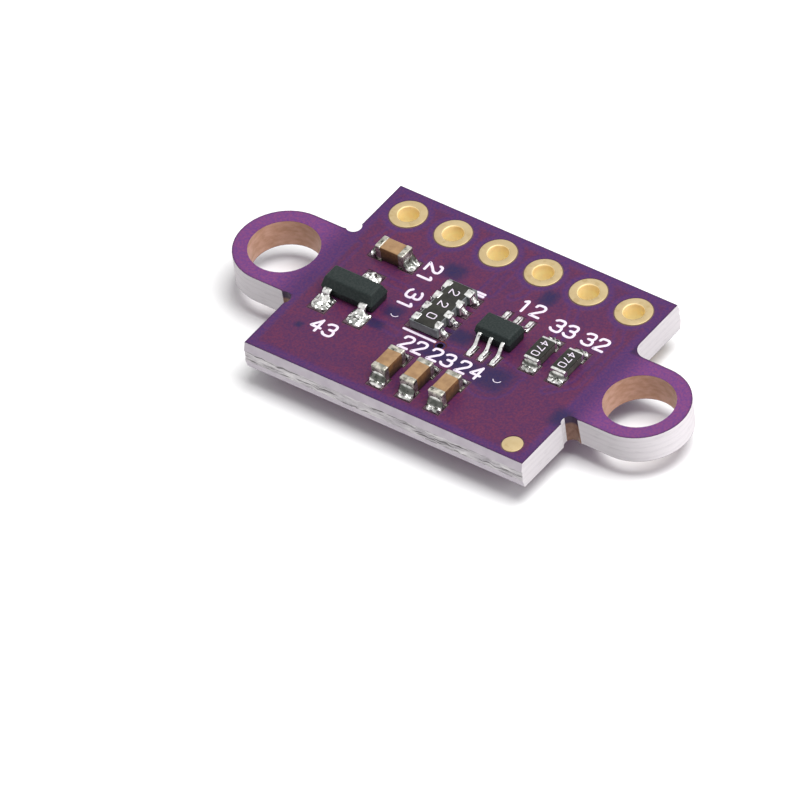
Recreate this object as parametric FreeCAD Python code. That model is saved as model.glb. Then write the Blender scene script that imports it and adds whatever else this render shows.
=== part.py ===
"""Time-of-flight sensor module: a small scored and routed board with two
mounting ears, a row of six plated holes, the components of its upper side
and the sensor package soldered to its under side.

Millimetres. The origin is on the sensor's face, under the board's centre.
+X runs along the row of plated holes, +Y towards that row, +Z up out of the
component side. The module lies on its sensor's face.
"""
import FreeCAD, Part
import math
import os

V = FreeCAD.Vector
UP = V(0, 0, 1)
ORIGIN = V(0, 0, 0)

# Layers of the board
core_thickness = 1.44
mask_thickness = 0.03
copper_thickness = 0.035
mask_gap = 0.05            # bare margin between a land or ring and the mask

# Outline of the board
board_length = 15.6        # between the routed short sides
board_depth = 12.28        # between the broken webs of the scored long sides
score_depth = 0.5          # of the groove in each face
score_angle = 30.0         # full angle of the groove
ear_hole_reach = 2.2       # from a short side out to the centre of its ear's hole
ear_hole_diameter = 3.4
ear_rim = 0.7              # laminate round the hole
corner_radius = 0.7        # routed corner between a short side and its ear
relief_radius = 0.38       # drilled relief in three of those corners
relief_off_side = 0.25     # relief centre, out from the short side
relief_off_ear = 0.33      # relief centre, away from the ear's straight edge

# Row of plated holes for a header strip
pin_count = 6
pin_pitch = 2.54
pin_bore = 1.0
pin_plating = 0.03
pin_ring_diameter = 1.8
pin_ring_thickness = 0.05
pin_row_inset = 1.52       # from the back edge's web to the row

# The bare gold disc that a placing machine looks for
fiducial_diameter = 1.0
fiducial_side_inset = 1.12
fiducial_front_inset = 0.94

# Solder and land sizes shared by the chips
film = 0.02                # solder left under a terminal or foot
toe = 0.03                 # height of a fillet's outer edge
land_overhang = 0.45       # land beyond the end of a chip
land_margin = 0.03         # land beyond each side of a chip's terminal
wetting = 0.6              # share of a terminal's height that a fillet climbs
sag_along = 0.3            # where a fillet's face sags most, as shares of its run and rise
sag_up = 0.32
joint_taper = 0.1          # how far each side of a fillet leans in, as a share of its width
mound_rise = 0.85          # share of a foot's thickness that its solder covers

# Ceramic chip capacitors
capacitor_length = 1.6
capacitor_width = 0.8
capacitor_height = 0.8
capacitor_band = 0.32
capacitor_plating = 0.03
capacitor_bevel = 0.06
capacitor_spacing = 0.8    # between neighbours of the front row
capacitor_front_inset = 0.74
front_row_x = 0.63         # middle capacitor of the front row
side_capacitor_x = -5.1
side_capacitor_y = 1.9

# Chip resistors
resistor_length = 1.55
resistor_width = 0.8
resistor_height = 0.45
resistor_band = 0.25
resistor_plating = 0.03
glaze_thickness = 0.03
resistor_spacing = 0.7
resistor_pair_x = 5.17
resistor_y = 0.12

# Array of four resistors
array_count = 4
array_pitch = 0.8
array_end_margin = 0.35    # from the last terminal's middle to the chip's end
array_width = 1.6
array_height = 0.52
array_band = 0.39
array_terminal_width = 0.46
array_plating = 0.03
array_notch = 0.18         # depth of the notches between the terminals
array_land_overhang = 0.28
array_x = -1.05
array_y = 0.15

# Transistor, with three gull-wing leads
transistor_length = 2.9
transistor_width = 1.3
transistor_height = 0.92
transistor_end_lean = 0.15     # how far each end leans in above the parting line
transistor_side_lean = 0.22
transistor_lead_pitch = 2.0
transistor_lead_width = 0.42
transistor_lead_thickness = 0.13
transistor_lead_exit = 0.46    # from the lands up to the parting line
transistor_span = 2.5      # over the tips of the feet
transistor_foot = 0.4
transistor_land_toe = 0.45 # land beyond the tip of a foot
transistor_land_length = 0.95
transistor_land_width = 0.95
transistor_x = -5.24
transistor_y = -0.98

# Level shifter, with six gull-wing leads
shifter_length = 2.0
shifter_width = 1.25
shifter_height = 0.8
shifter_end_lean = 0.07
shifter_side_lean = 0.15
shifter_lead_count = 3     # on each side
shifter_lead_pitch = 0.65
shifter_lead_width = 0.22
shifter_lead_thickness = 0.13
shifter_lead_exit = 0.53
shifter_span = 2.9
shifter_foot = 0.38
shifter_land_toe = 0.23
shifter_land_length = 0.75
shifter_land_width = 0.34
shifter_x = 2.17
shifter_y = 0.08

# Shared form of the moulded cases and their leads
case_standoff = 0.05
case_draft = 0.06          # how far the lower half leans in all round
lead_seat = 0.15           # length of a lead held inside its case
lead_shoulder = 0.1        # straight length outside the case before the bend
lead_bend = 0.08           # inner radius of a bend

# Sensor package on the under side
sensor_length = 4.4
sensor_width = 2.4
sensor_height = 1.0
sensor_joint = 0.06
substrate_thickness = 0.25
sensor_pad = 0.5
sensor_pad_pitch = 0.8
sensor_side_pads = 5
sensor_pad_inset = 0.05
housing_wall = 0.2
housing_roof = 0.3
barrier_thickness = 0.2
emitter_room = 1.35        # length of the emitter's chamber
aperture_flare = 0.15      # how much wider an aperture is at the outer face, all round
emitter_aperture = 0.5
receiver_aperture = 0.75
window_thickness = 0.12
window_rim = 0.15          # glass held round an aperture
emitter_die_size = 0.35
emitter_die_height = 0.12
receiver_die_length = 1.6
receiver_die_width = 1.3
receiver_die_height = 0.18

# Heights and edges that follow from them
core_bottom = sensor_height + sensor_joint + copper_thickness
core_top = core_bottom + core_thickness
land_top = core_top + copper_thickness
score_lean = math.tan(math.radians(score_angle / 2))
ear_radius = ear_hole_diameter / 2 + ear_rim
ear_hole_x = board_length / 2 + ear_hole_reach
pin_row_y = board_depth / 2 - pin_row_inset
overrun = 1.0              # how far a cutter runs past what it cuts


def save(node, shape):
    """Write one node's solids."""
    shape.exportStep("parts/" + node + ".step")


def block(length, depth, height, x=0.0, y=0.0, bottom=0.0):
    """A box centred on x, y that stands on the given height."""
    return Part.makeBox(length, depth, height, V(x - length / 2, y - depth / 2, bottom))


def disc(diameter, height, x=0.0, y=0.0, bottom=0.0):
    """An upright cylinder centred on x, y."""
    return Part.makeCylinder(diameter / 2, height, V(x, y, bottom))


def joined(shapes):
    """Several solids as one shape, each still separate."""
    return Part.makeCompound(list(shapes))


def turned(shape, angle):
    """A copy turned about the vertical through the origin."""
    copy = shape.copy()
    copy.rotate(ORIGIN, UP, angle)
    return copy


def moved(shape, x, y, z=0.0):
    """A copy shifted by x, y, z."""
    copy = shape.copy()
    copy.translate(V(x, y, z))
    return copy


def strip_of(points, width):
    """A polygon of (along, up) points in the X-Z plane, extruded evenly to both sides."""
    corners = [V(along, -width / 2, up) for along, up in points]
    outline = Part.makePolygon(corners + corners[:1])
    return Part.Face(outline).extrude(V(0, width, 0))


# The bare board

def outline(bottom, height):
    """The board's plan between two heights: body, ears, routed corners and reliefs."""
    body = block(board_length, board_depth, height, bottom=bottom)
    arms = block(2 * ear_hole_x, 2 * ear_radius, height, bottom=bottom)
    tips = [disc(2 * ear_radius, height, side * ear_hole_x, 0, bottom) for side in (-1, 1)]
    plan = body.multiFuse([arms] + tips).removeSplitter()
    inner = [edge for edge in plan.Edges if is_inner_corner(edge)]
    plan = plan.makeFillet(corner_radius, inner)
    holes = [disc(ear_hole_diameter, height, side * ear_hole_x, 0, bottom) for side in (-1, 1)]
    reliefs = [relief(side, end, bottom, height) for side, end in ((-1, 1), (-1, -1), (1, -1))]
    return plan.cut(joined(holes + reliefs))


def is_inner_corner(edge):
    """True for the upright edges where a short side meets an ear."""
    middle = edge.BoundBox.Center
    upright = edge.BoundBox.XLength < 1e-6 and edge.BoundBox.YLength < 1e-6
    at_side = abs(abs(middle.x) - board_length / 2) < 1e-6
    at_ear = abs(abs(middle.y) - ear_radius) < 1e-6
    return upright and at_side and at_ear


def relief(side, end, bottom, height):
    """The drill that eases one inner corner."""
    x = side * (board_length / 2 + relief_off_side)
    y = end * (ear_radius + relief_off_ear)
    return disc(2 * relief_radius, height, x, y, bottom)


def score_groove(end, face):
    """The half groove along a long side, in the upper (1) or lower (-1) face."""
    surface = core_top if face > 0 else core_bottom
    root = surface - face * score_depth
    far = surface + face * overrun
    edge = board_depth / 2
    inner = edge - (score_depth + overrun) * score_lean
    corners = [V(0, end * edge, root), V(0, end * inner, far), V(0, end * (edge + overrun), far),
               V(0, end * (edge + overrun), root)]
    section = Part.Face(Part.makePolygon(corners + corners[:1]))
    groove = section.extrude(V(board_length + 2 * overrun, 0, 0))
    return moved(groove, -board_length / 2 - overrun, 0)


def score_grooves():
    return joined(score_groove(end, face) for end in (-1, 1) for face in (-1, 1))


def pin_places():
    return [((i - (pin_count - 1) / 2) * pin_pitch, pin_row_y) for i in range(pin_count)]


def laminate_core():
    """The glass laminate under the coats, drilled for the plated holes."""
    core = outline(core_bottom, core_thickness).cut(score_grooves())
    pins = [disc(pin_bore + 2 * pin_plating, core_thickness, x, y, core_bottom)
            for x, y in pin_places()]
    return core.cut(joined(pins))


def solder_mask(bottom, openings):
    """The coloured coat on one face, open over the rings and lands."""
    rings = [disc(pin_ring_diameter + 2 * mask_gap, mask_thickness, x, y, bottom)
             for x, y in pin_places()]
    coat = outline(bottom, mask_thickness).cut(score_grooves())
    return coat.cut(joined(rings + openings))


def header_eyelet(x, y):
    """A plated hole: the barrel and a ring on each face."""
    foot = core_bottom - pin_ring_thickness
    length = core_thickness + 2 * pin_ring_thickness
    rings = [disc(pin_ring_diameter, pin_ring_thickness, x, y, level) for level in (foot, core_top)]
    barrel = disc(pin_bore + 2 * pin_plating, core_thickness, x, y, core_bottom)
    return barrel.multiFuse(rings).removeSplitter().cut(disc(pin_bore, length, x, y, foot))


# Lands and chips. Each is built round its own centre with its lands' tops at height zero

def land(length, width, x, y=0.0):
    """A copper land, with its top at height zero."""
    return block(length, width, copper_thickness, x, y, -copper_thickness)


def land_opening(length, width, x, y=0.0):
    """The opening in the mask over a land."""
    margin = 2 * mask_gap
    return block(length + margin, width + margin, mask_thickness, x, y, -copper_thickness)


def fillet(inner, wall, outer, height, width):
    """Solder under a terminal from inner to wall, with a hollow meniscus up its end.

    The meniscus is an arc from the wall's wetted height down to a thin toe at outer, and
    the joint narrows a little towards its top.
    """
    low = V(outer, 0, toe)
    high = V(wall, 0, height)
    sag = V(wall + sag_along * (outer - wall), 0, toe + sag_up * (height - toe))
    path = [V(inner, 0, film), V(inner, 0, 0), V(outer, 0, 0), low]
    edges = [Part.LineSegment(a, b).toShape() for a, b in zip(path, path[1:])]
    edges.append(Part.Arc(low, sag, high).toShape())
    edges.append(Part.LineSegment(high, V(wall, 0, film)).toShape())
    edges.append(Part.LineSegment(V(wall, 0, film), path[0]).toShape())
    profile = Part.Face(Part.Wire(edges))
    profile.translate(V(0, -width / 2, 0))
    slab = profile.extrude(V(0, width, 0))
    return slab.common(tapered_prism(width, height, outer + overrun))


def tapered_prism(width, height, length):
    """A long prism along X whose sides lean in."""
    top = width / 2 - joint_taper * width
    corners = [V(0, -width / 2, 0), V(0, width / 2, 0), V(0, top, height), V(0, -top, height)]
    section = Part.Face(Part.makePolygon(corners + corners[:1]))
    return section.extrude(V(length, 0, 0))


def both_ends(shape):
    """A shape and its copy turned half way round."""
    return [shape, turned(shape, 180)]


def chip_lands(length, width, band):
    """Copper, mask openings and their extent for a chip with a terminal at each end."""
    inner = length / 2 - band
    outer = length / 2 + land_overhang
    size = (outer - inner, width + 2 * land_margin, (inner + outer) / 2)
    return both_ends(land(*size)), both_ends(land_opening(*size))


def capacitor():
    """A ceramic block with a plated cap round each end."""
    size = (capacitor_length, capacitor_width, capacitor_height)
    outer = block(*size, bottom=film)
    outer = outer.makeChamfer(capacitor_bevel, outer.Edges)
    inner = [value - 2 * capacitor_plating for value in size]
    ceramic = block(*inner, bottom=film + capacitor_plating)
    ceramic = ceramic.makeChamfer(capacitor_bevel - capacitor_plating / 2, ceramic.Edges)
    reach = capacitor_length / 2 - capacitor_band / 2
    end_zone = block(capacitor_band, capacitor_width, capacitor_height, reach, 0, film)
    cap = outer.common(end_zone).cut(ceramic)
    rise = film + wetting * capacitor_height
    solder = fillet(capacitor_length / 2 - capacitor_band, capacitor_length / 2,
                    capacitor_length / 2 + land_overhang, rise, capacitor_width)
    solder = solder.cut(outer)
    lands, openings = chip_lands(capacitor_length, capacitor_width, capacitor_band)
    pieces = {"ceramic": ceramic}
    for label, shape in (("left", turned(cap, 180)), ("right", cap)):
        pieces["cap_" + label] = shape
    pieces["solder"] = joined(both_ends(solder))
    return pieces, lands, openings


def resistor():
    """An alumina chip with wrapped terminals and a dark glaze between them."""
    inner_height = resistor_height - 2 * resistor_plating
    inner_length = resistor_length - 2 * resistor_plating
    alumina = block(inner_length, resistor_width, inner_height, bottom=film + resistor_plating)
    reach = resistor_length / 2 - resistor_band / 2
    shell = block(resistor_band, resistor_width, resistor_height, reach, 0, film).cut(alumina)
    glaze_length = resistor_length - 2 * resistor_band
    glaze = block(glaze_length, resistor_width - 2 * land_margin, glaze_thickness,
                  bottom=film + resistor_height - resistor_plating)
    rise = film + wetting * resistor_height
    solder = fillet(resistor_length / 2 - resistor_band, resistor_length / 2,
                    resistor_length / 2 + land_overhang, rise, resistor_width)
    solder = solder.cut(shell)
    lands, openings = chip_lands(resistor_length, resistor_width, resistor_band)
    pieces = {"alumina": alumina, "glaze": glaze, "terminals": joined(both_ends(shell)),
              "solder": joined(both_ends(solder))}
    return pieces, lands, openings


def array_length():
    return (array_count - 1) * array_pitch + 2 * array_end_margin


def array_spans():
    """Each terminal's width and middle; the outer ones reach the chip's ends."""
    rows = [(i - (array_count - 1) / 2) * array_pitch for i in range(array_count)]
    lows = [y - array_terminal_width / 2 for y in rows]
    highs = [y + array_terminal_width / 2 for y in rows]
    lows[0] = -array_length() / 2
    highs[-1] = array_length() / 2
    return [(high - low, (low + high) / 2) for low, high in zip(lows, highs)]


def notches():
    """The notches between neighbouring terminals, through the chip on both sides."""
    ends = [(middle - width / 2, middle + width / 2) for width, middle in array_spans()]
    gaps = [(left[1], right[0]) for left, right in zip(ends, ends[1:])]
    return [block(2 * array_notch, high - low, array_height, side * array_width / 2,
                  (low + high) / 2, film) for side in (-1, 1) for low, high in gaps]


def array_joint(width):
    """One terminal block with the solder, land and mask opening that go with it."""
    inner = array_width / 2 - array_band
    outer = array_width / 2 + array_land_overhang
    terminal = block(array_band, width, array_height, (inner + array_width / 2) / 2, 0, film)
    solder = fillet(inner, array_width / 2, outer, film + wetting * array_height, width)
    size = (outer - inner, width, (inner + outer) / 2)
    return terminal, solder.cut(terminal), land(*size), land_opening(*size)


def resistor_array():
    """Four resistors on one ceramic chip, with notched sides between their terminals."""
    length = array_length()
    inner_height = array_height - 2 * array_plating
    ceramic = block(array_width - 2 * array_plating, length, inner_height,
                    bottom=film + array_plating)
    ceramic = ceramic.cut(joined(notches()))
    sets = [[], [], [], []]
    for width, y in array_spans():
        for angle in (0, 180):
            for shapes, shape in zip(sets, array_joint(width)):
                shapes.append(moved(turned(shape, angle), 0, y))
    terminals, joints, lands, openings = sets
    terminals = [shape.cut(ceramic) for shape in terminals]
    glaze = block(array_width - 2 * array_band, length - 2 * land_margin, glaze_thickness,
                  bottom=film + array_height - array_plating)
    pieces = {"ceramic": ceramic, "glaze": glaze, "terminals": joined(terminals),
              "solder": joined(joints)}
    return pieces, lands, openings


# Moulded cases with gull-wing leads

def mitred(path, distance):
    """A path of (along, up) points shifted sideways, its corners kept sharp."""
    shifted = []
    for i, point in enumerate(path):
        before = path[max(i - 1, 0)]
        after = path[min(i + 1, len(path) - 1)]
        arriving = unit(before, point) if i > 0 else unit(point, after)
        leaving = unit(point, after) if i < len(path) - 1 else arriving
        across = (-(arriving[1] + leaving[1]), arriving[0] + leaving[0])
        scale = 1 + arriving[0] * leaving[0] + arriving[1] * leaving[1]
        shifted.append((point[0] + distance * across[0] / scale,
                        point[1] + distance * across[1] / scale))
    return shifted


def unit(start, end):
    """The direction from one (along, up) point to another."""
    length = math.hypot(end[0] - start[0], end[1] - start[1])
    return ((end[0] - start[0]) / length, (end[1] - start[1]) / length)


def gull_wing(wall, exit_height, tip, foot, width, thickness):
    """A lead: straight out of the case, down a leaning leg and out along its foot."""
    knee = wall + lead_shoulder + thickness / 2
    heel = max(tip - foot, knee)
    level = film + thickness / 2
    path = [(wall - lead_seat, exit_height), (knee, exit_height), (heel, level), (tip, level)]
    upper = mitred(path, thickness / 2)
    lower = mitred(path, -thickness / 2)
    lead = strip_of(upper + lower[::-1], width)
    return round_bends(lead, (upper[1], lower[2]), lead_bend + thickness,
                       (lower[1], upper[2]), lead_bend)


def round_bends(lead, outer, outer_radius, inner, inner_radius):
    """Round the two bends of a lead, outside and inside."""
    for places, radius in ((outer, outer_radius), (inner, inner_radius)):
        edges = [edge for edge in lead.Edges if any(runs_through(edge, place) for place in places)]
        lead = lead.makeFillet(radius, edges)
    return lead


def runs_through(edge, place):
    """True for an edge across the lead at an (along, up) place."""
    box = edge.BoundBox
    off = math.hypot(box.Center.x - place[0], box.Center.z - place[1])
    return off < 1e-6 and box.YLength > box.XLength


def moulded_case(length, width, height, parting, end_lean, side_lean):
    """A case that leans in both ways from its parting line."""
    bottom = level_rectangle(length - 2 * case_draft, width - 2 * case_draft, case_standoff)
    middle = level_rectangle(length, width, parting)
    top = level_rectangle(length - 2 * end_lean, width - 2 * side_lean, case_standoff + height)
    lower = Part.makeLoft([bottom, middle], True, True)
    upper = Part.makeLoft([middle, top], True, True)
    return lower.fuse(upper)


def level_rectangle(length, width, z):
    """A closed level rectangle round the vertical through the origin."""
    corners = [V(sx * length / 2, sy * width / 2, z)
               for sx, sy in ((-1, -1), (1, -1), (1, 1), (-1, 1))]
    return Part.makePolygon(corners + corners[:1])


def solder_mound(start, tip, land_end, foot_width, land_width, thickness):
    """Solder over a land that thins from the foot's edges to the land's."""
    base = Part.makePolygon(rectangle_corners(start, land_end, land_width, 0))
    crown_height = film + mound_rise * thickness
    crown = rectangle_corners(start + film, tip + 2 * film, foot_width + 2 * film, crown_height)
    return Part.makeLoft([base, Part.makePolygon(crown)], True, True)


def rectangle_corners(x_low, x_high, width, z):
    """A closed loop of corners from one place along X to another."""
    loop = [V(x_low, -width / 2, z), V(x_high, -width / 2, z), V(x_high, width / 2, z),
            V(x_low, width / 2, z)]
    return loop + loop[:1]


def leaded_package(case, wall, lead, land_size, places):
    """Gull-wing leads and their joints round a moulded case, at (angle, offset) places."""
    exit_height, span, foot, lead_width, thickness = lead
    land_length, land_width, land_toe = land_size
    tip = span / 2
    end = tip + land_toe
    start = end - land_length
    pattern = gull_wing(wall, exit_height, tip, foot, lead_width, thickness)
    mound = solder_mound(start, tip, end, lead_width, land_width, thickness).cut(pattern)
    extent = (land_length, land_width, (start + end) / 2)
    shapes = {"lead": pattern, "joint": mound, "land": land(*extent),
              "opening": land_opening(*extent)}
    sets = {label: [moved(turned(shape, angle), offset, 0) for angle, offset in places]
            for label, shape in shapes.items()}
    pieces = {"case": case.cut(joined(sets["lead"])), "leads": joined(sets["lead"]),
              "solder": joined(sets["joint"])}
    return pieces, sets["land"], sets["opening"]


def transistor():
    """Two leads at the front and one at the back."""
    half = transistor_lead_pitch / 2
    places = ((-90, -half), (-90, half), (90, 0.0))
    case = moulded_case(transistor_length, transistor_width, transistor_height,
                        transistor_lead_exit, transistor_end_lean, transistor_side_lean)
    lead = (transistor_lead_exit, transistor_span, transistor_foot, transistor_lead_width,
            transistor_lead_thickness)
    land_size = (transistor_land_length, transistor_land_width, transistor_land_toe)
    return leaded_package(case, transistor_width / 2, lead, land_size, places)


def shifter():
    """Three leads on each long side."""
    middle = (shifter_lead_count - 1) / 2
    offsets = [(i - middle) * shifter_lead_pitch for i in range(shifter_lead_count)]
    places = [(angle, offset) for angle in (-90, 90) for offset in offsets]
    case = moulded_case(shifter_length, shifter_width, shifter_height, shifter_lead_exit,
                        shifter_end_lean, shifter_side_lean)
    lead = (shifter_lead_exit, shifter_span, shifter_foot, shifter_lead_width,
            shifter_lead_thickness)
    land_size = (shifter_land_length, shifter_land_width, shifter_land_toe)
    return leaded_package(case, shifter_width / 2, lead, land_size, places)


# The sensor package, which hangs under the board with its apertures down

def pad_places():
    """Pads along both long sides and one in the middle of each short side."""
    side_y = sensor_width / 2 - sensor_pad_inset - sensor_pad / 2
    end_x = sensor_length / 2 - sensor_pad_inset - sensor_pad / 2
    middle = (sensor_side_pads - 1) / 2
    xs = [(i - middle) * sensor_pad_pitch for i in range(sensor_side_pads)]
    return [(x, side * side_y) for side in (-1, 1) for x in xs] + [(-end_x, 0.0), (end_x, 0.0)]


def pads(thickness, bottom, margin=0.0):
    size = sensor_pad + 2 * margin
    return [block(size, size, thickness, x, y, bottom) for x, y in pad_places()]


def chambers():
    """The emitter's and the receiver's (low x, high x) rooms inside the housing."""
    low = -sensor_length / 2 + housing_wall
    high = sensor_length / 2 - housing_wall
    split = low + emitter_room
    return (low, split), (split + barrier_thickness, high)


def middle_of(room):
    return (room[0] + room[1]) / 2


def aperture(diameter, x):
    """A hole through the housing's roof that flares towards the outer face."""
    return Part.makeCone(diameter / 2 + aperture_flare, diameter / 2, housing_roof, V(x, 0, 0))


def sensor_housing():
    """The opaque cap: two rooms, the light barrier between them and their apertures."""
    depth = sensor_height - substrate_thickness
    cap = block(sensor_length, sensor_width, depth)
    rooms = [block(high - low, sensor_width - 2 * housing_wall, depth - housing_roof,
                   (low + high) / 2, 0, housing_roof) for low, high in chambers()]
    emitter, receiver = chambers()
    holes = [aperture(emitter_aperture, middle_of(emitter)),
             aperture(receiver_aperture, middle_of(receiver))]
    return cap.cut(joined(rooms + holes))


def window(diameter, room):
    """A square filter glass on the inside of the roof, over one aperture."""
    side = diameter + 2 * window_rim
    return block(side, side, window_thickness, middle_of(room), 0, housing_roof)


def build_sensor():
    base = sensor_height - substrate_thickness
    emitter, receiver = chambers()
    save("sensor_substrate", block(sensor_length, sensor_width, substrate_thickness, bottom=base))
    save("sensor_housing", sensor_housing())
    save("emitter_window", window(emitter_aperture, emitter))
    save("receiver_window", window(receiver_aperture, receiver))
    save("emitter_die", block(emitter_die_size, emitter_die_size, emitter_die_height,
                              middle_of(emitter), 0, base - emitter_die_height))
    save("receiver_die", block(receiver_die_length, receiver_die_width, receiver_die_height,
                               middle_of(receiver), 0, base - receiver_die_height))
    save("sensor_solder", joined(pads(sensor_joint, sensor_height)))
    save("bottom_lands", joined(pads(copper_thickness, core_bottom - copper_thickness)))


# Putting the module together

def component_places():
    """Each component's name, its maker, its centre and its turn."""
    row_y = -board_depth / 2 + capacitor_front_inset + land_overhang + capacitor_length / 2
    step = capacitor_width + capacitor_spacing
    places = [("capacitor_%d" % (i + 1), capacitor, front_row_x + (i - 1) * step, row_y, 90)
              for i in range(3)]
    places.append(("capacitor_4", capacitor, side_capacitor_x, side_capacitor_y, 0))
    half = (resistor_width + resistor_spacing) / 2
    places.append(("resistor_1", resistor, resistor_pair_x - half, resistor_y, 90))
    places.append(("resistor_2", resistor, resistor_pair_x + half, resistor_y, 90))
    places.append(("array", resistor_array, array_x, array_y, 0))
    places.append(("transistor", transistor, transistor_x, transistor_y, 0))
    places.append(("shifter", shifter, shifter_x, shifter_y, 0))
    return places


def build_components():
    """Save every component's pieces; return all the lands and mask openings."""
    all_lands, all_openings = [], []
    for name, maker, x, y, turn in component_places():
        pieces, lands, openings = maker()
        for label, shape in pieces.items():
            save(name + "_" + label, moved(turned(shape, turn), x, y, land_top))
        all_lands += [moved(turned(shape, turn), x, y, land_top) for shape in lands]
        all_openings += [moved(turned(shape, turn), x, y, land_top) for shape in openings]
    return all_lands, all_openings


def build_board(openings):
    """Save the core, its two coats, the plated holes and the bare gold disc."""
    fiducial_x = board_length / 2 - fiducial_side_inset
    fiducial_y = -board_depth / 2 + fiducial_front_inset
    save("laminate_core", laminate_core())
    gap = disc(fiducial_diameter + 2 * mask_gap, mask_thickness, fiducial_x, fiducial_y, core_top)
    save("solder_mask_top", solder_mask(core_top, openings + [gap]))
    low = core_bottom - mask_thickness
    save("solder_mask_bottom", solder_mask(low, pads(mask_thickness, low, mask_gap)))
    save("fiducial_pad", disc(fiducial_diameter, copper_thickness, fiducial_x, fiducial_y,
                              core_top))
    for i, (x, y) in enumerate(pin_places()):
        save("header_eyelet_%d" % (i + 1), header_eyelet(x, y))


os.makedirs("parts", exist_ok=True)
component_lands, component_openings = build_components()
save("top_lands", joined(component_lands))
build_board(component_openings)
build_sensor()
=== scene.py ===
# %% [markdown]
# # A small distance sensor board, dressed for its portrait
# The board is 25 mm long, so this lesson works in millimetres and turns them into metres only
# where a mesh is made. The solids come from the CAD frame. Each cell dresses one piece: it either
# gives the CAD solid a finish or puts a finer surface in its place.

# %% Load the frame
import math

import bmesh
import bpy
import numpy as np
from mathutils import Matrix, Vector


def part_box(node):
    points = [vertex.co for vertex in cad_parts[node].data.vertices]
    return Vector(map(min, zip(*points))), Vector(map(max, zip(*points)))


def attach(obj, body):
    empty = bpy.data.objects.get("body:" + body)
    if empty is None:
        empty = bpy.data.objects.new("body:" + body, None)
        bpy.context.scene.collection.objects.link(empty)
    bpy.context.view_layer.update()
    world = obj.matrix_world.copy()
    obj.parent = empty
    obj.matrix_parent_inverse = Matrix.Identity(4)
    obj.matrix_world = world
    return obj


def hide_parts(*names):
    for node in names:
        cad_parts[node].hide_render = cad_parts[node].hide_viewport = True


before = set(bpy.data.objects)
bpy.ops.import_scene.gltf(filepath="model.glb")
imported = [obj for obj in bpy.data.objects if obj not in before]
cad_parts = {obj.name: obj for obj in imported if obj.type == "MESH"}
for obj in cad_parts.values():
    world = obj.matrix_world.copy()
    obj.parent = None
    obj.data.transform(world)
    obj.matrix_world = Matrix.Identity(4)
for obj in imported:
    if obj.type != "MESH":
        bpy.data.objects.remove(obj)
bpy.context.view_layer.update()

MM = 0.001

# %% [markdown]
# ## Sizes read from the frame
# Every place is taken from the solid that it belongs to. `corners` gives a solid's box in
# millimetres, so a piece follows its solid when a size changes.

# %% Read the main heights


def corners(node):
    """Lowest and highest corner of a CAD solid, in millimetres."""
    low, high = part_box(node)
    return np.array(low) / MM, np.array(high) / MM


def middle(node):
    """The centre of a CAD solid's box, in millimetres."""
    low, high = corners(node)
    return (low + high) / 2


core_low, core_high = corners("laminate_core")
coat_low, coat_high = corners("solder_mask_top")
land_top = corners("top_lands")[1][2]
board_top = coat_high[2]
print("board from", core_low.round(3), "to", coat_high.round(3), "lands at", round(land_top, 3))

# %% [markdown]
# ## The camera
# A lens can be found from a photograph by turning a model until its holes and corners fall on the
# picture's. Here that gave a very long lens, looking down by 43 degrees from the front right.
# The three turns are written as one rotation matrix, whose rows are the picture's right, up and
# back directions.

# %% Place the camera
view_turn = math.radians(-41.42)
view_lift = math.radians(43.24)
view_roll = math.radians(7.48)
view_distance = 904.94
aim_right = 2.756
aim_up = 3.473
lens_mm = 900.0
sensor_mm = 36.0


def rotation(angle, first, second):
    """A turn by an angle in the plane of two axes."""
    matrix = np.eye(3)
    matrix[first, first] = matrix[second, second] = math.cos(angle)
    matrix[first, second] = -math.sin(angle)
    matrix[second, first] = math.sin(angle)
    return matrix


tip = np.array([[1, 0, 0], [0, math.sin(view_lift), math.cos(view_lift)],
                [0, -math.cos(view_lift), math.sin(view_lift)]])
picture_axes = rotation(view_roll, 0, 1) @ tip @ rotation(view_turn, 0, 1)
eye = picture_axes.T @ np.array([-aim_right, -aim_up, view_distance]) + [0, 0, board_top]
camera_data = bpy.data.cameras.new("camera")
camera_data.lens = lens_mm
camera_data.sensor_width = sensor_mm
camera_data.clip_start = 0.1
camera_data.clip_end = 5.0
camera = bpy.data.objects.new("camera", camera_data)
bpy.context.scene.collection.objects.link(camera)
camera.matrix_world = Matrix.Translation(Vector(eye * MM)) @ Matrix(picture_axes.T).to_4x4()
bpy.context.scene.camera = camera
print("camera at", (eye * MM).round(4))

# %% [markdown]
# ## Shader nodes in short
# A finish is a tree of small nodes. These helpers make one node, feed a value to a socket, do one
# step of arithmetic and read the place on the object, so that the finishes below read like recipes.

# %% Node helpers


def new_material(name):
    """An empty node material and its tree."""
    material = bpy.data.materials.new(name)
    material.use_nodes = True
    material.node_tree.nodes.clear()
    return material, material.node_tree


def node(tree, kind, **values):
    """One shader node; values name its inputs, or its own settings in lower case."""
    made = tree.nodes.new(kind)
    for key, value in values.items():
        if key in made.inputs:
            made.inputs[key].default_value = value
        else:
            setattr(made, key, value)
    return made


def feed(tree, value, socket):
    """Give a socket a number, an RGB triple or another node's output."""
    if isinstance(value, (int, float)):
        socket.default_value = value
    elif isinstance(value, tuple):
        socket.default_value = (*value, 1)
    else:
        tree.links.new(value, socket)


def reckoned(tree, operation, first, second):
    """One step of arithmetic on two values."""
    made = node(tree, "ShaderNodeMath", operation=operation)
    feed(tree, first, made.inputs[0])
    feed(tree, second, made.inputs[1])
    return made.outputs[0]


def place_on_object(tree):
    return node(tree, "ShaderNodeTexCoord").outputs["Object"]


def object_axes(tree):
    """The X, Y and Z of the place on the object, in metres."""
    split = node(tree, "ShaderNodeSeparateXYZ")
    tree.links.new(place_on_object(tree), split.inputs[0])
    return split.outputs


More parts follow.
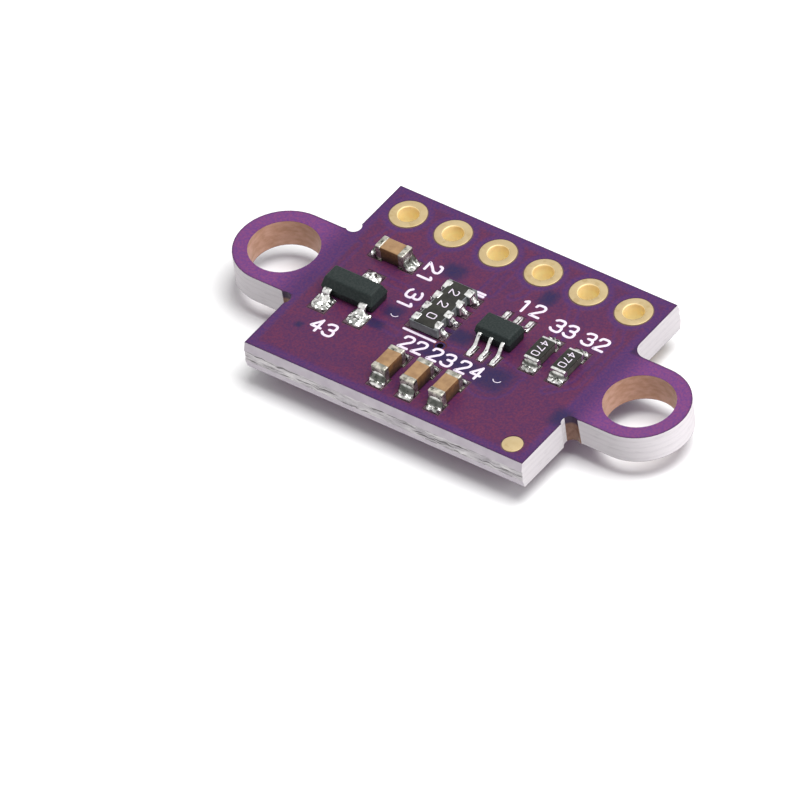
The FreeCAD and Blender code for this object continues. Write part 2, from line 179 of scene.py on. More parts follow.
def mix_to_output(tree, share, first, second, output):
    """Mix two shaders and send the result to the tree's output."""
    mix = node(tree, "ShaderNodeMixShader")
    for value, socket in zip((share, first.outputs[0], second.outputs[0]), mix.inputs):
        tree.links.new(value, socket)
    tree.links.new(mix.outputs[0], node(tree, output).inputs[0])


print("node helpers ready")

# %% [markdown]
# ## Floor, background and light
# The photograph has a plain white ground. The world is white for the camera and for reflections,
# and softer for everything else, so that pale edges don't burn out. Two broad lamps give the
# upper faces their shine. The board lies on its sensor, so its under side would be black on a solid
# floor. The floor is therefore clear seen from below, in an opening that the sensor covers, and
# under the board to light that a surface gathers, like a light table.

# %% Build the stage
floor_size = 0.6
floor_grey = 0.93
floor_drop = 0.00002
sky_strength = 0.5
sensor_centre = middle("sensor_housing")
opening_half = (2.9, 1.8)
board_half = (12.6, 6.4)


def white_for_camera(tree):
    """1 where a ray comes from the camera, a reflection or a clear piece, and 0 elsewhere."""
    rays = node(tree, "ShaderNodeLightPath").outputs
    seen = reckoned(tree, "MAXIMUM", rays["Is Camera Ray"], rays["Is Glossy Ray"])
    return reckoned(tree, "MAXIMUM", seen, rays["Is Transmission Ray"])


def paint_world():
    world = bpy.data.worlds.new("studio")
    world.use_nodes = True
    tree = world.node_tree
    tree.nodes.clear()
    soft, white = (node(tree, "ShaderNodeBackground", Color=(1, 1, 1, 1), Strength=strength)
                   for strength in (sky_strength, 1.0))
    mix_to_output(tree, white_for_camera(tree), soft, white, "ShaderNodeOutputWorld")
    bpy.context.scene.world = world


def within(tree, centre, half):
    """1 inside a rectangle on the floor, given by its centre and half sides in millimetres."""
    inside = []
    for axis, place in zip((0, 1), object_axes(tree)):
        away = reckoned(tree, "SUBTRACT", place, centre[axis] * MM)
        away = reckoned(tree, "ABSOLUTE", away, 0.0)
        inside.append(reckoned(tree, "LESS_THAN", away, half[axis] * MM))
    return reckoned(tree, "MULTIPLY", *inside)


def clear_floor(tree):
    """1 where the floor is clear: from below, under the sensor, and to gathered light."""
    rays = node(tree, "ShaderNodeLightPath").outputs
    gathered = reckoned(tree, "MAXIMUM", rays["Is Diffuse Ray"], rays["Is Glossy Ray"])
    board = reckoned(tree, "MULTIPLY", gathered, within(tree, (0, 0), board_half))
    opening = reckoned(tree, "MAXIMUM", within(tree, sensor_centre, opening_half), board)
    below = node(tree, "ShaderNodeNewGeometry").outputs["Backfacing"]
    return reckoned(tree, "MAXIMUM", opening, below)


def lay_floor():
    half = floor_size / 2
    mesh = bpy.data.meshes.new("floor")
    mesh.from_pydata([(-half, -half, 0), (half, -half, 0), (half, half, 0), (-half, half, 0)],
                     [], [(0, 1, 2, 3)])
    floor = bpy.data.objects.new("floor", mesh)
    floor.location.z = -floor_drop
    bpy.context.scene.collection.objects.link(floor)
    material, tree = new_material("pale_floor")
    matt = node(tree, "ShaderNodeBsdfDiffuse", Color=(floor_grey, floor_grey, floor_grey, 1))
    clear = node(tree, "ShaderNodeBsdfTransparent")
    mix_to_output(tree, clear_floor(tree), matt, clear, "ShaderNodeOutputMaterial")
    mesh.materials.append(material)


def hang_lamp(name, place, size, watts):
    """A square lamp that faces the board's middle; place is in metres."""
    lamp = bpy.data.lights.new(name, "AREA")
    lamp.size = size
    lamp.energy = watts
    holder = bpy.data.objects.new(name, lamp)
    holder.location = place
    holder.rotation_euler = Vector(place).to_track_quat("Z", "Y").to_euler()
    bpy.context.scene.collection.objects.link(holder)


paint_world()
lay_floor()
hang_lamp("window_above", (0.08, 0.03, 0.27), 0.17, 0.8)
hang_lamp("window_right", (0.24, 0.05, 0.12), 0.14, 0.2)
bpy.context.scene.view_settings.view_transform = "Standard"
print("stage ready")

# %% [markdown]
# ## How a finish is made
# Every finish here is one Principled shader. Its colour is a blend of two or three tones, blended
# by noise that is fixed to the object, and its surface gets a fine bump from the same noise.
# Noise is measured by its grain, the size of one blotch in millimetres. The numbers after a
# finish's tones are its grain, its roughness, the depth of its bump in millimetres and, where it
# differs from the usual, its shine or how metallic it is.

# %% Finish helpers


def stretched_place(tree, stretch):
    """The place on the object, with each axis scaled. A small share draws a pattern out."""
    mapping = node(tree, "ShaderNodeMapping", Scale=stretch)
    tree.links.new(place_on_object(tree), mapping.inputs["Vector"])
    return mapping.outputs[0]


def blotches(tree, grain, detail=3.0, stretch=(1, 1, 1)):
    """Soft noise between 0 and 1 whose blotches are grain millimetres wide."""
    noise = node(tree, "ShaderNodeTexNoise", Scale=1.0 / (grain * MM), Detail=detail)
    tree.links.new(stretched_place(tree, stretch), noise.inputs["Vector"])
    return noise.outputs["Fac"]


def sharpened(tree, value, low, high):
    """A value spread so that low becomes 0 and high becomes 1."""
    spread = node(tree, "ShaderNodeMapRange", **{"From Min": low, "From Max": high})
    tree.links.new(value, spread.inputs["Value"])
    return spread.outputs["Result"]


def clouds(tree, low, high, *noise):
    """Blotches with sharpened rims; noise holds the grain, the detail and the stretch."""
    return sharpened(tree, blotches(tree, *noise), low, high)


def blended(tree, share, first, second, how="MIX"):
    """A colour between two others, or their product; each is a triple or a node's output."""
    mix = node(tree, "ShaderNodeMix", data_type="RGBA", blend_type=how)
    sockets = mix.inputs["Factor"], mix.inputs[6], mix.inputs[7]
    for value, socket in zip((share, first, second), sockets):
        feed(tree, value, socket)
    return mix.outputs[2]


def painted(tree, name):
    """A value that was painted on the mesh, or 0 where there is none."""
    return node(tree, "ShaderNodeAttribute", attribute_name=name).outputs["Fac"]


def risen(tree, low, high):
    """0 below one height in millimetres and 1 above another."""
    return sharpened(tree, object_axes(tree)["Z"], low * MM, high * MM)


def bumped(tree, value, depth):
    """A bump whose full height is depth millimetres."""
    bump = node(tree, "ShaderNodeBump", Strength=1.0, Distance=depth * MM)
    tree.links.new(value, bump.inputs["Height"])
    return bump.outputs["Normal"]


def principled(tree, colour, normal=None, roughness=0.5, shine=0.5, **constants):
    """The shader at the end of a finish. Constants go straight onto its sockets."""
    shader = node(tree, "ShaderNodeBsdfPrincipled", Roughness=roughness, **constants)
    shader.inputs["Specular IOR Level"].default_value = shine
    tree.links.new(shader.outputs[0], node(tree, "ShaderNodeOutputMaterial").inputs["Surface"])
    feed(tree, colour, shader.inputs["Base Color"])
    if normal is not None:
        tree.links.new(normal, shader.inputs["Normal"])


def plain_finish(name, tones, grain, roughness, depth, shine=0.5, **constants):
    """A non-metal whose tone wanders between two, with a fine bump of the same grain."""
    material, tree = new_material(name)
    tone = blended(tree, clouds(tree, 0.32, 0.68, grain, 4.0), *tones)
    peel = bumped(tree, blotches(tree, grain * 0.5), depth)
    principled(tree, tone, peel, roughness, shine, **constants)
    return material


print("finish helpers ready")

# %% [markdown]
# ## Solder mask
# The coat is a clear purple lacquer. Over copper it reads as a warm maroon, and over bare laminate
# as a cooler violet. A value called `copper`, painted on the mesh where the copper lies, picks the
# tone. Others mark the dark pools, the body's deeper shade and the coat's thin rim. The rim is
# painted shade, a dark line along the coat's outer edge. One pool, round the open via, is painted
# shade where the coat sinks into the hole. A fine orange-peel bump softens the shine.

# %% Solder mask finish
maroon = (0.100, 0.020, 0.062)
maroon_deep = (0.074, 0.018, 0.068)
violet = (0.152, 0.043, 0.158)
violet_deep = (0.072, 0.022, 0.098)
pool_blue = (0.020, 0.013, 0.058)
# Painted shade: the dark line along the coat's outer edge.
edge_shade_dark = (0.030, 0.010, 0.040)
fleck_cool = (0.72, 0.82, 1.04)
fleck_warm = (1.22, 1.08, 0.95)


def solder_mask_finish():
    material, tree = new_material("purple_solder_mask")
    over_copper = blended(tree, clouds(tree, 0.3, 0.7, 1.4), maroon, maroon_deep)
    over_laminate = blended(tree, painted(tree, "depth"), violet, violet_deep)
    tone = blended(tree, painted(tree, "copper"), over_laminate, over_copper)
    tone = blended(tree, painted(tree, "pool"), tone, pool_blue)
    tone = blended(tree, painted(tree, "rim"), tone, edge_shade_dark)
    speck = blended(tree, clouds(tree, 0.36, 0.66, 0.11, 4.0), fleck_cool, fleck_warm)
    tone = blended(tree, 1.0, tone, speck, "MULTIPLY")
    principled(tree, tone, bumped(tree, blotches(tree, 0.11, 2.0), 0.004), 0.4, 0.18)
    return material


mask_finish = solder_mask_finish()
print("solder mask ready")

# %% [markdown]
# ## Laminate
# The board's core is woven glass in resin. A routed edge is pale and shows the layers as faint
# level lines, and a snapped edge is torn along its fibres. A drilled wall is rubbed smooth and has
# the tan of the resin. Fibres are blotches drawn out level along the edge.

# %% Laminate finishes
layer_height = 0.34
pale_edge = (0.66, 0.62, 0.645)
grey_edge = (0.42, 0.385, 0.42)
fibre_grey = (0.36, 0.33, 0.35)
torn_pale = (0.70, 0.67, 0.68)
torn_grey = (0.44, 0.41, 0.44)
torn_dark = (0.12, 0.11, 0.115)
tan_wall = (0.43, 0.225, 0.14)
pink_wall = (0.56, 0.32, 0.235)
tan_fleck = (0.42, 0.25, 0.15)
relief_tan = (0.17, 0.085, 0.06)
relief_pink = (0.24, 0.13, 0.095)
# Coat run over the relief's edge, painted nearly black as shadow under its overhang.
draped_coat_and_shadow = (0.030, 0.012, 0.042)


def layer_lines(tree, wander):
    """Level lines a layer apart, pushed up and down a little by noise."""
    wave = node(tree, "ShaderNodeTexWave", bands_direction="Z", Scale=0.3 / (layer_height * MM),
                Distortion=wander, Detail=4.0, **{"Detail Scale": 3.0})
    tree.links.new(stretched_place(tree, (0.05, 0.05, 1.0)), wave.inputs["Vector"])
    return wave.outputs["Fac"]


def laminate_finish():
    material, tree = new_material("laminate_edge")
    fibre = blotches(tree, 0.09, 5.0, (0.16, 0.16, 1.0))
    dark_fibre = sharpened(tree, sharpened(tree, fibre, 0.56, 0.8), 0.0, 2.5)
    tone = blended(tree, sharpened(tree, layer_lines(tree, 4.5), 0.55, 3.6), pale_edge, grey_edge)
    tone = blended(tree, dark_fibre, tone, fibre_grey)
    principled(tree, tone, bumped(tree, fibre, 0.02), 0.7, 0.35)
    return material


def broken_web_finish():
    material, tree = new_material("broken_web")
    fibre = blotches(tree, 0.085, 6.0, (0.06, 0.06, 1.0))
    tone = blended(tree, clouds(tree, 0.35, 0.65, 0.5, 3.0, (0.4, 0.4, 1.0)), torn_pale, torn_grey)
    tone = blended(tree, sharpened(tree, fibre, 0.5, 0.64), tone, torn_dark)
    principled(tree, tone, bumped(tree, fibre, 0.06), 0.75, 0.3)
    return material


def drilled_finish():
    material, tree = new_material("drilled_laminate")
    fibre = blotches(tree, 0.25, 4.0, (0.5, 0.5, 1.0))
    tone = blended(tree, sharpened(tree, fibre, 0.35, 0.65), tan_wall, pink_wall)
    tone = blended(tree, clouds(tree, 0.62, 0.75, 0.08, 4.0), tone, tan_fleck)
    principled(tree, tone, bumped(tree, fibre, 0.02), 0.5)
    return material


def draped_coat_shadow_finish():
    """A drilled wall whose upper third is covered by coat that ran over the edge, painted nearly
    black as the shadow under the coat's overhang.
    """
    material, tree = new_material("draped_relief_shadow")
    tone = blended(tree, clouds(tree, 0.35, 0.65, 0.2), relief_tan, relief_pink)
    cover = risen(tree, board_top - 0.5, board_top - 0.36)
    principled(tree, blended(tree, cover, tone, draped_coat_and_shadow), None, 0.45, 0.3)
    return material


# Bare laminate in the narrow gaps round rings and lands is painted dark as the shadow below their
# rims.
gap_shadow_finish = plain_finish("bare_laminate_gap_shadow", ((0.105, 0.045, 0.062), (0.075, 0.032, 0.05)),
                           0.15, 0.6, 0.004)
edge_finish = laminate_finish()
web_finish = broken_web_finish()
groove_finish = plain_finish("scored_wall", ((0.43, 0.385, 0.435), (0.50, 0.455, 0.50)),
                             0.6, 0.55, 0.004)
wall_finish = drilled_finish()
relief_finish = draped_coat_shadow_finish()
print("laminate finishes ready")

# %% [markdown]
# ## Metals
# The plated holes are thin gold over nickel: pale and rather matt on the ring, and brighter in the
# bore. That brightness is painted light coming up through the hole, and the darker mouth is painted
# shade. Solder is a bright tin alloy that freezes in lumps, so its tone wanders between almost
# white and a dark grey. A capacitor's caps are matt tin with a grey grain. Leads, and the ends of
# the resistors, have a brighter plating.

# %% Metal finishes
# Dark band on the joints: flux residue and painted reflection.
flux_and_reflection_dark = (0.035, 0.038, 0.03)


def metal_finish(name, tones, grain, roughness, depth, metallic=1.0):
    """A metal whose tone wanders between three, darkest in pits and in a painted dark band of flux
    residue and reflection.
    """
    material, tree = new_material(name)
    tone = blended(tree, clouds(tree, 0.38, 0.62, grain, 2.0), tones[0], tones[1])
    tone = blended(tree, clouds(tree, 0.58, 0.68, grain * 0.8, 2.0), tone, tones[2])
    tone = blended(tree, painted(tree, "residue_and_reflection"), tone, flux_and_reflection_dark)
    normal = bumped(tree, blotches(tree, grain * 0.6, 2.0), depth)
    principled(tree, tone, normal, roughness, Metallic=metallic)
    return material


def lit_bore_gold():
    """Gold deepest in colour at the mouth and brightest half way down the bore: painted shade at
    the mouth and painted light below it.
    """
    material, tree = new_material("barrel_gold_painted_light")
    cloud = clouds(tree, 0.35, 0.65, 0.5, 2.0)
    deep = blended(tree, cloud, (1.0, 0.88, 0.47), (1.0, 0.80, 0.38))
    mouth = blended(tree, cloud, (0.88, 0.64, 0.30), (0.98, 0.78, 0.42))
    tone = blended(tree, risen(tree, board_top - 0.45, board_top - 0.12), deep, mouth)
    principled(tree, tone, bumped(tree, blotches(tree, 0.3, 2.0), 0.004), 0.36, Metallic=0.1)
    return material


lit_bore_finish = lit_bore_gold()
gold_finish = metal_finish("immersion_gold", ((0.51, 0.40, 0.225), (0.475, 0.365, 0.195),
                                              (0.44, 0.33, 0.165)), 0.5, 0.55, 0.003, 0.75)
solder_finish = metal_finish("bright_solder", ((0.84, 0.83, 0.80), (0.34, 0.35, 0.33),
                                               (0.05, 0.055, 0.05)), 0.3, 0.24, 0.03)
# The lands are painted dark purple-brown as shade round the joints, with dark residue.
land_shade_finish = metal_finish("tinned_lands_painted_shade", ((0.17, 0.12, 0.14), (0.08, 0.05, 0.07),
                                            (0.03, 0.02, 0.03)), 0.25, 0.4, 0.01)
tin_finish = metal_finish("matt_tin", ((0.60, 0.57, 0.50), (0.27, 0.27, 0.23),
                                       (0.08, 0.08, 0.065)), 0.24, 0.4, 0.012)
lead_finish = metal_finish("plated_leads", ((0.86, 0.86, 0.84), (0.58, 0.58, 0.56),
                                            (0.24, 0.24, 0.23)), 0.2, 0.28, 0.006)
print("metals ready")

# %% [markdown]
# ## Ceramics, mouldings and ink
# Capacitor ceramic is a smooth tan. Its flanks are painted darker than its top as shade, and nearly
# black at the board as painted shadow. The resistors are alumina, painted nearly black on their
# sides as shade with some flux stain, under a black glass glaze. The two moulded cases are filled
# epoxy: nearly black with a green cast and a fine grain. The printing is a thick white ink.

# %% Ceramic, moulding and ink finishes


def shaded_flank():
    """A capacitor's flank, painted darker than its top as shade: orange brown above, nearly black
    at the board as painted shadow.
    """
    material, tree = new_material("ceramic_side_painted_shade")
    cloud = clouds(tree, 0.32, 0.68, 0.3, 4.0)
    upper = blended(tree, cloud, (0.22, 0.105, 0.04), (0.11, 0.055, 0.028))
    lower = blended(tree, cloud, (0.060, 0.038, 0.022), (0.026, 0.018, 0.014))
    tone = blended(tree, risen(tree, board_top + 0.12, board_top + 0.72), lower, upper)
    principled(tree, tone, bumped(tree, blotches(tree, 0.15), 0.006), 0.42, 0.25)
    return material


shaded_side_finish = shaded_flank()
ceramic_finish = plain_finish("tan_ceramic", ((0.36, 0.22, 0.11), (0.25, 0.145, 0.072)),
                              0.35, 0.42, 0.006, 0.25)
# The alumina is painted nearly black as shade on the chip's sides, with some flux stain.
alumina_shade_finish = plain_finish("stained_alumina_painted_shade", ((0.05, 0.046, 0.04), (0.10, 0.095, 0.085)),
                              0.2, 0.5, 0.008, 0.3)
grey_ceramic_finish = plain_finish("grey_ceramic", ((0.115, 0.125, 0.13), (0.18, 0.19, 0.195)),
                                   0.3, 0.5, 0.006, 0.3)
glaze_finish = plain_finish("black_glaze", ((0.012, 0.012, 0.010), (0.028, 0.028, 0.022)),
                            0.3, 0.28, 0.006, 0.25)
case_finish = plain_finish("moulded_epoxy", ((0.007, 0.014, 0.013), (0.022, 0.028, 0.027)),
                           0.09, 0.5, 0.012, 0.2)
housing_finish = plain_finish("black_housing", ((0.017, 0.017, 0.019), (0.027, 0.027, 0.029)),
                              0.1, 0.42, 0.006)
substrate_finish = plain_finish("dark_substrate", ((0.02, 0.045, 0.025), (0.035, 0.06, 0.035)),
                                0.15, 0.4, 0.004)
window_finish = plain_finish("filter_glass", ((0.02, 0.006, 0.012), (0.03, 0.01, 0.016)),
                             0.4, 0.06, 0.0005, **{"Coat Weight": 0.6})
silicon_finish = plain_finish("bare_silicon", ((0.14, 0.14, 0.18), (0.22, 0.22, 0.27)),
                              0.1, 0.2, 0.001)
ink_finish = plain_finish("white_ink", ((0.80, 0.73, 0.82), (0.66, 0.57, 0.70)), 0.1, 0.6, 0.008)
print("other finishes ready")

# %% [markdown]
# ## From points to a piece
# A piece starts as points in millimetres and a list of faces. It becomes a closed mesh whose faces
# look outward, and then an object with its finish and the solids that it replaces. A mesh that was
# cut from a solid joins in at the second step.

# %% Piece helpers


def reworked(mesh, change):
    """Make one change to a mesh with bmesh."""
    kit = bmesh.new()
    kit.from_mesh(mesh)
    change(kit)
    kit.to_mesh(mesh)
    kit.free()


def face_outward(mesh):
    """Turn every face of a closed mesh outward."""
    reworked(mesh, lambda kit: bmesh.ops.recalc_face_normals(kit, faces=kit.faces))


def raw_mesh(points, faces, name="raw"):
    """A closed mesh from points in millimetres."""
    mesh = bpy.data.meshes.new(name)
    mesh.from_pydata((np.asarray(points) * MM).tolist(), [], faces)
    face_outward(mesh)
    return mesh


def dress(name, mesh, finishes, replaced=(), sharp=35.0):
    """Make a mesh an object of the board: finish, shading and the solids it replaces."""
    face_outward(mesh)
    for finish in finishes:
        mesh.materials.append(finish)
    mesh.shade_smooth()
    mesh.set_sharp_from_angle(angle=math.radians(sharp))
    piece = bpy.data.objects.new(name, mesh)
    bpy.context.scene.collection.objects.link(piece)
    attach(piece, "root")
    if replaced:
        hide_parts(*replaced)
    return piece


def add_piece(name, points, faces, finish, slot, replaced=(), sharp=35.0):
    """A finished piece from points in millimetres. Faces sharper than the angle keep an edge."""
    return dress(name, raw_mesh(points, faces, name), [finish], replaced, sharp)


print("piece helpers ready")

# %% [markdown]
# ## Surfaces from numpy arrays
# A surface is an array of rows and columns of points. Three kinds are enough for this board: rings
# stacked into a closed body, rings carried round into a tube, and a slab whose upper side is a
# height field. The faces are index arithmetic on the whole grid, with no loop over points.

# %% Surface helpers


def grid_quads(rows, columns, wrap_rows=False, wrap_columns=False):
    """Corner indices of every cell of a grid that may close on itself either way."""
    index = np.arange(rows * columns).reshape(rows, columns)
    if wrap_rows:
        index = np.vstack([index, index[:1]])
    if wrap_columns:
        index = np.hstack([index, index[:, :1]])
    return np.stack([index[:-1, :-1], index[:-1, 1:], index[1:, 1:], index[1:, :-1]],
                    axis=-1).reshape(-1, 4)


def stacked(rings):
    """Points and faces of a closed body from rings (rows, columns, 3), the lowest first."""
    rows, columns = rings.shape[:2]
    faces = grid_quads(rows, columns, wrap_columns=True).tolist()
    first = list(range(columns))[::-1]
    last = list(range((rows - 1) * columns, rows * columns))
    return rings.reshape(-1, 3), faces + [first, last]


def slab(x, y, top, base):
    """Points and faces of a closed slab: a height field above a flat base.

    x, y and top are arrays of one shape. The rim of the field drops straight to the base.
    """
    rows, columns = top.shape
    upper = np.stack([x, y, top], axis=-1).reshape(-1, 3)
    index = np.arange(rows * columns).reshape(rows, columns)
    rim = np.concatenate([index[0, :-1], index[:-1, -1], index[-1, :0:-1], index[:0:-1, 0]])
    lower = upper[rim].copy()
    lower[:, 2] = base
    foot = rows * columns + np.arange(len(rim))
    walls = np.stack([rim, foot, np.roll(foot, -1), np.roll(rim, -1)], axis=-1)
    faces = grid_quads(rows, columns).tolist() + walls.tolist() + [foot[::-1].tolist()]
    return np.vstack([upper, lower]), faces


print("surface helpers ready")

# %% [markdown]
# ## Copper under the coat
# The coat is a fine sheet that follows the copper below it, so tracks show as low ridges. The
# copper is described by one function of the place on the board: 1 over the poured plane, 0 in a
# margin along every edge and round the plated holes, and little in two thin gaps beside each track.
# Dark pools mark the places where the copper is missing on the far side too. The last pool, round
# the open via, is painted shade where the coat sinks into the hole.

# %% Where the copper is


def arc(centre, radius, start, end, steps=6):
    """Points of an arc round a centre in a plane; angles in degrees."""
    angle = np.radians(np.linspace(start, end, steps))
    return [(centre[0] + radius * math.cos(a), centre[1] + radius * math.sin(a)) for a in angle]


def smooth(value, start, end):
    """0 up to start, 1 from end, and 3t² - 2t³ between them."""
    t = np.clip((value - start) / (end - start), 0, 1)
    return t * t * (3 - 2 * t)


half_length = 7.8
half_depth = (coat_high[1] - coat_low[1]) / 2
ear_x = 10.0
ear_hole = 1.7
ear_outside = 2.4
pin_pitch = 2.54
pin_x = (np.arange(6) - 2.5) * pin_pitch
pin_y = middle("header_eyelet_1")[1]
ring_radius = 0.9
edge_margin = 0.42
track_lines = [
    [(-0.32, 2.0), (-0.32, 3.9)], [(0.02, 2.3), (0.02, 3.9)], [(0.2, -1.7), (1.2, -1.5)],
    [(-5.2, 0.62), (-3.3, 0.55), (-2.6, 0.1)], [(1.27, 3.6), (1.27, 3.0), (1.0, 2.6)],
    [(3.81, 3.6), (4.2, 2.8), (4.42, 1.4)], [(6.35, 3.6), (6.9, 2.6), (6.9, -0.6), (5.92, -1.6)],
    [(-6.35, 3.6), (-6.6, 2.4)], [(-4.0, -2.0), (-3.0, -1.9), (-2.2, -2.0)],
    [(3.2, -1.2), (4.42, -1.5)], [(-3.81, 3.6), (-3.9, 2.6)], [(-7.2, -0.4), (-7.2, 1.8)],
    [(2.05, -3.3), *arc((3.42, -2.3), 0.98, -131.78, 20.05, 9), (4.3, -1.4)]]
tracks = [ends for line in track_lines for ends in zip(line, line[1:])]
dark_pools_and_via_shade = [(0.45, -0.75, 0.75, 0.5), (0.9, -2.2, 2.2, 0.48), (3.35, -2.2, 1.0, 0.85),
              (-2.3, 2.6, 0.62, 0.5), (-6.35, -3.8, 0.2, 0.2), (-3.1, -0.95, 0.5, 0.4),
              (2.5, 3.35, 0.45, 0.55), (-3.4, -2.0, 0.55, 0.3), (7.55, -2.7, 0.5, 0.6),
              # The last pool is painted shade round the open via.
              (0.06, -1.68, 0.32, 0.32)]


def line_distance(x, y, start, end):
    """Distance to a straight line: the foot of the perpendicular, held between its ends."""
    along = np.subtract(end, start)
    share = ((x - start[0]) * along[0] + (y - start[1]) * along[1]) / (along @ along)
    share = np.clip(share, 0, 1)
    return np.hypot(x - start[0] - share * along[0], y - start[1] - share * along[1])


def edge_distance(x, y):
    """Distance in from the body's four sides."""
    return np.minimum(half_length - np.abs(x), half_depth - np.abs(y))


def ring_distance(x, y):
    """Distance out from the nearest ring of a plated hole."""
    return np.min([np.hypot(x - middle_x, y - pin_y) for middle_x in pin_x], axis=0) - ring_radius


def copper_cover(x, y):
    """How much copper lies below a place."""
    cover = smooth(edge_distance(x, y), edge_margin - 0.15, edge_margin + 0.15)
    cover *= smooth(ring_distance(x, y), 0.2, 0.4)
    away = np.min([line_distance(x, y, *track) for track in tracks], axis=0)
    return cover * (1 - 0.6 * smooth(away, 0.1, 0.16) * (1 - smooth(away, 0.26, 0.34)))


def shade_depth(x, y):
    """How dark the coat is: 1 over the body's margin, 0 out on the ears."""
    return smooth(half_length - np.abs(x), -1.6, 0.1)


def outline_distance(x, y):
    """Distance in from the board's outline, over the body or an ear, whichever is more."""
    ear = ear_outside - np.hypot(np.maximum(np.abs(x) - ear_x, 0), y)
    return np.maximum(edge_distance(x, y), ear)


def pool_cover(x, y):
    """1 inside the dark pools (middle x and y, reach in x and y), with a soft rim."""
    pools = [np.exp(-((x - px) / rx) ** 4 - ((y - py) / ry) ** 4) for px, py, rx, ry in dark_pools_and_via_shade]
    return np.max(pools, axis=0)


print("copper map of", len(tracks), "tracks and", len(dark_pools_and_via_shade), "pools")

# %% [markdown]
# ## The two coats
# The CAD coat already has the right outline and openings, so it cuts the fine sheet to shape. The
# sheet is a height field with a point every 0.07 mm. A Boolean keeps what lies inside a copy of the
# CAD coat that is stretched up and down, and the values for the finish are painted on it.

# %% Cut the fine sheet to the coat's outline
sheet_step = 0.07
ridge = 0.016
outline_stretch = 0.2
pool_strength = 0.92
edge_shade_strength = 0.75
edge_shade_width = 0.09


def solid_copy(name):
    """A mesh of a CAD node whose doubled points are merged."""
    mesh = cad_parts[name].data.copy()
    mesh.materials.clear()
    if "custom_normal" in mesh.attributes:
        mesh.attributes.remove(mesh.attributes["custom_normal"])
    reworked(mesh, lambda kit: bmesh.ops.remove_doubles(kit, verts=kit.verts, dist=1e-7))
    return mesh


def combined(first, second, operation):
    """The Boolean of two closed meshes as a new mesh."""
    makers = [bpy.data.objects.new("maker", mesh) for mesh in (first, second)]
    for maker in makers:
        bpy.context.scene.collection.objects.link(maker)
    cut = makers[0].modifiers.new("cut", "BOOLEAN")
    cut.operation = operation
    cut.solver = "MANIFOLD"
    cut.object = makers[1]
    ready = bpy.context.evaluated_depsgraph_get()
    result = bpy.data.meshes.new_from_object(makers[0].evaluated_get(ready))
    for maker in makers:
        bpy.data.objects.remove(maker)
    result.materials.clear()
    return result


def paint(mesh, name, values):
    """Put one value on each point for a finish to read."""
    layer = mesh.attributes.new(name, "FLOAT", "POINT")
    layer.data.foreach_set("value", np.ascontiguousarray(values, dtype=np.float32))


def coat_sheet(low, high, face):
    """A slab over the whole board whose outer side stands out a little over the copper.

    face is 1 for the upper side and -1 for the lower, whose tracks are the mirror image.
    """
    x = np.arange(low[0] - 0.1, high[0] + 0.1, sheet_step)
    y = np.arange(low[1] - 0.1, high[1] + 0.1, sheet_step)
    x, y = np.meshgrid(x, y, indexing="ij")
    outer, inner = (high[2], low[2]) if face > 0 else (-low[2], -high[2])
    points, faces = slab(x, y, outer - ridge * (1 - copper_cover(face * x, y)), inner)
    return points * [1, 1, face], faces


def points_of(mesh):
    """A mesh's points in millimetres."""
    flat = np.empty(len(mesh.vertices) * 3)
    mesh.vertices.foreach_get("co", flat)
    return flat.reshape(-1, 3) / MM


def dress_coat(name, coat_solid, face):
    """Cut one face's sheet to shape, paint it and put it in the CAD coat's place."""
    low, high = corners(coat_solid)
    outline = solid_copy(coat_solid)
    tall = points_of(outline)
    upper = tall[:, 2] > (low[2] + high[2]) / 2
    tall[:, 2] += np.where(upper, outline_stretch, -outline_stretch)
    outline.vertices.foreach_set("co", (tall * MM).ravel())
    outline.update()
    mesh = combined(raw_mesh(*coat_sheet(low, high, face)), outline, "INTERSECT")
    x, y = points_of(mesh)[:, :2].T
    paint(mesh, "copper", copper_cover(face * x, y))
    paint(mesh, "pool", pool_strength * pool_cover(face * x, y))
    paint(mesh, "depth", shade_depth(x, y))
    # The rim value paints a line of shade along the coat's outer edge.
    paint(mesh, "rim", edge_shade_strength * (1 - smooth(outline_distance(x, y), 0.0, edge_shade_width)))
    dress(name, mesh, [mask_finish], [coat_solid], sharp=40)
    print(name, len(mesh.polygons), "faces, height", np.ptp(points_of(mesh)[:, 2]).round(3), "mm")


dress_coat("upper_coat", "solder_mask_top", 1)
dress_coat("lower_coat", "solder_mask_bottom", -1)

# %% [markdown]
# ## The core and its broken edges
# Boards of this kind are made many to a panel, with a groove scored in both faces between them,
# and snapped apart. The two long sides therefore have a sloping groove wall above and below and a
# torn strip in the middle. The torn strip is cut by a slab with a rough face; the rest of the core
# is the CAD solid, with a finish chosen for each face by where it lies.

# %% Tear the long edges and finish every wall
tear_depth = 0.09
score_lean = math.radians(15)
web_low, web_high = 1.55, 2.08
relief_off_side = 0.25
relief_off_ear = 0.33


def ripple(x, y, seed, waves=7, size=0.2):
    """A smooth random surface between about -1 and 1: a sum of plane waves, size mm long."""
    random = np.random.default_rng(seed)
    angle = random.uniform(0, 2 * np.pi, waves)
    rate = 2 * np.pi / (size * random.uniform(0.7, 1.6, waves))
    phase = random.uniform(0, 2 * np.pi, waves)
    total = sum(np.sin(rate[i] * (x * np.cos(angle[i]) + y * np.sin(angle[i])) + phase[i])
                for i in range(waves))
    return total / math.sqrt(waves * 2)


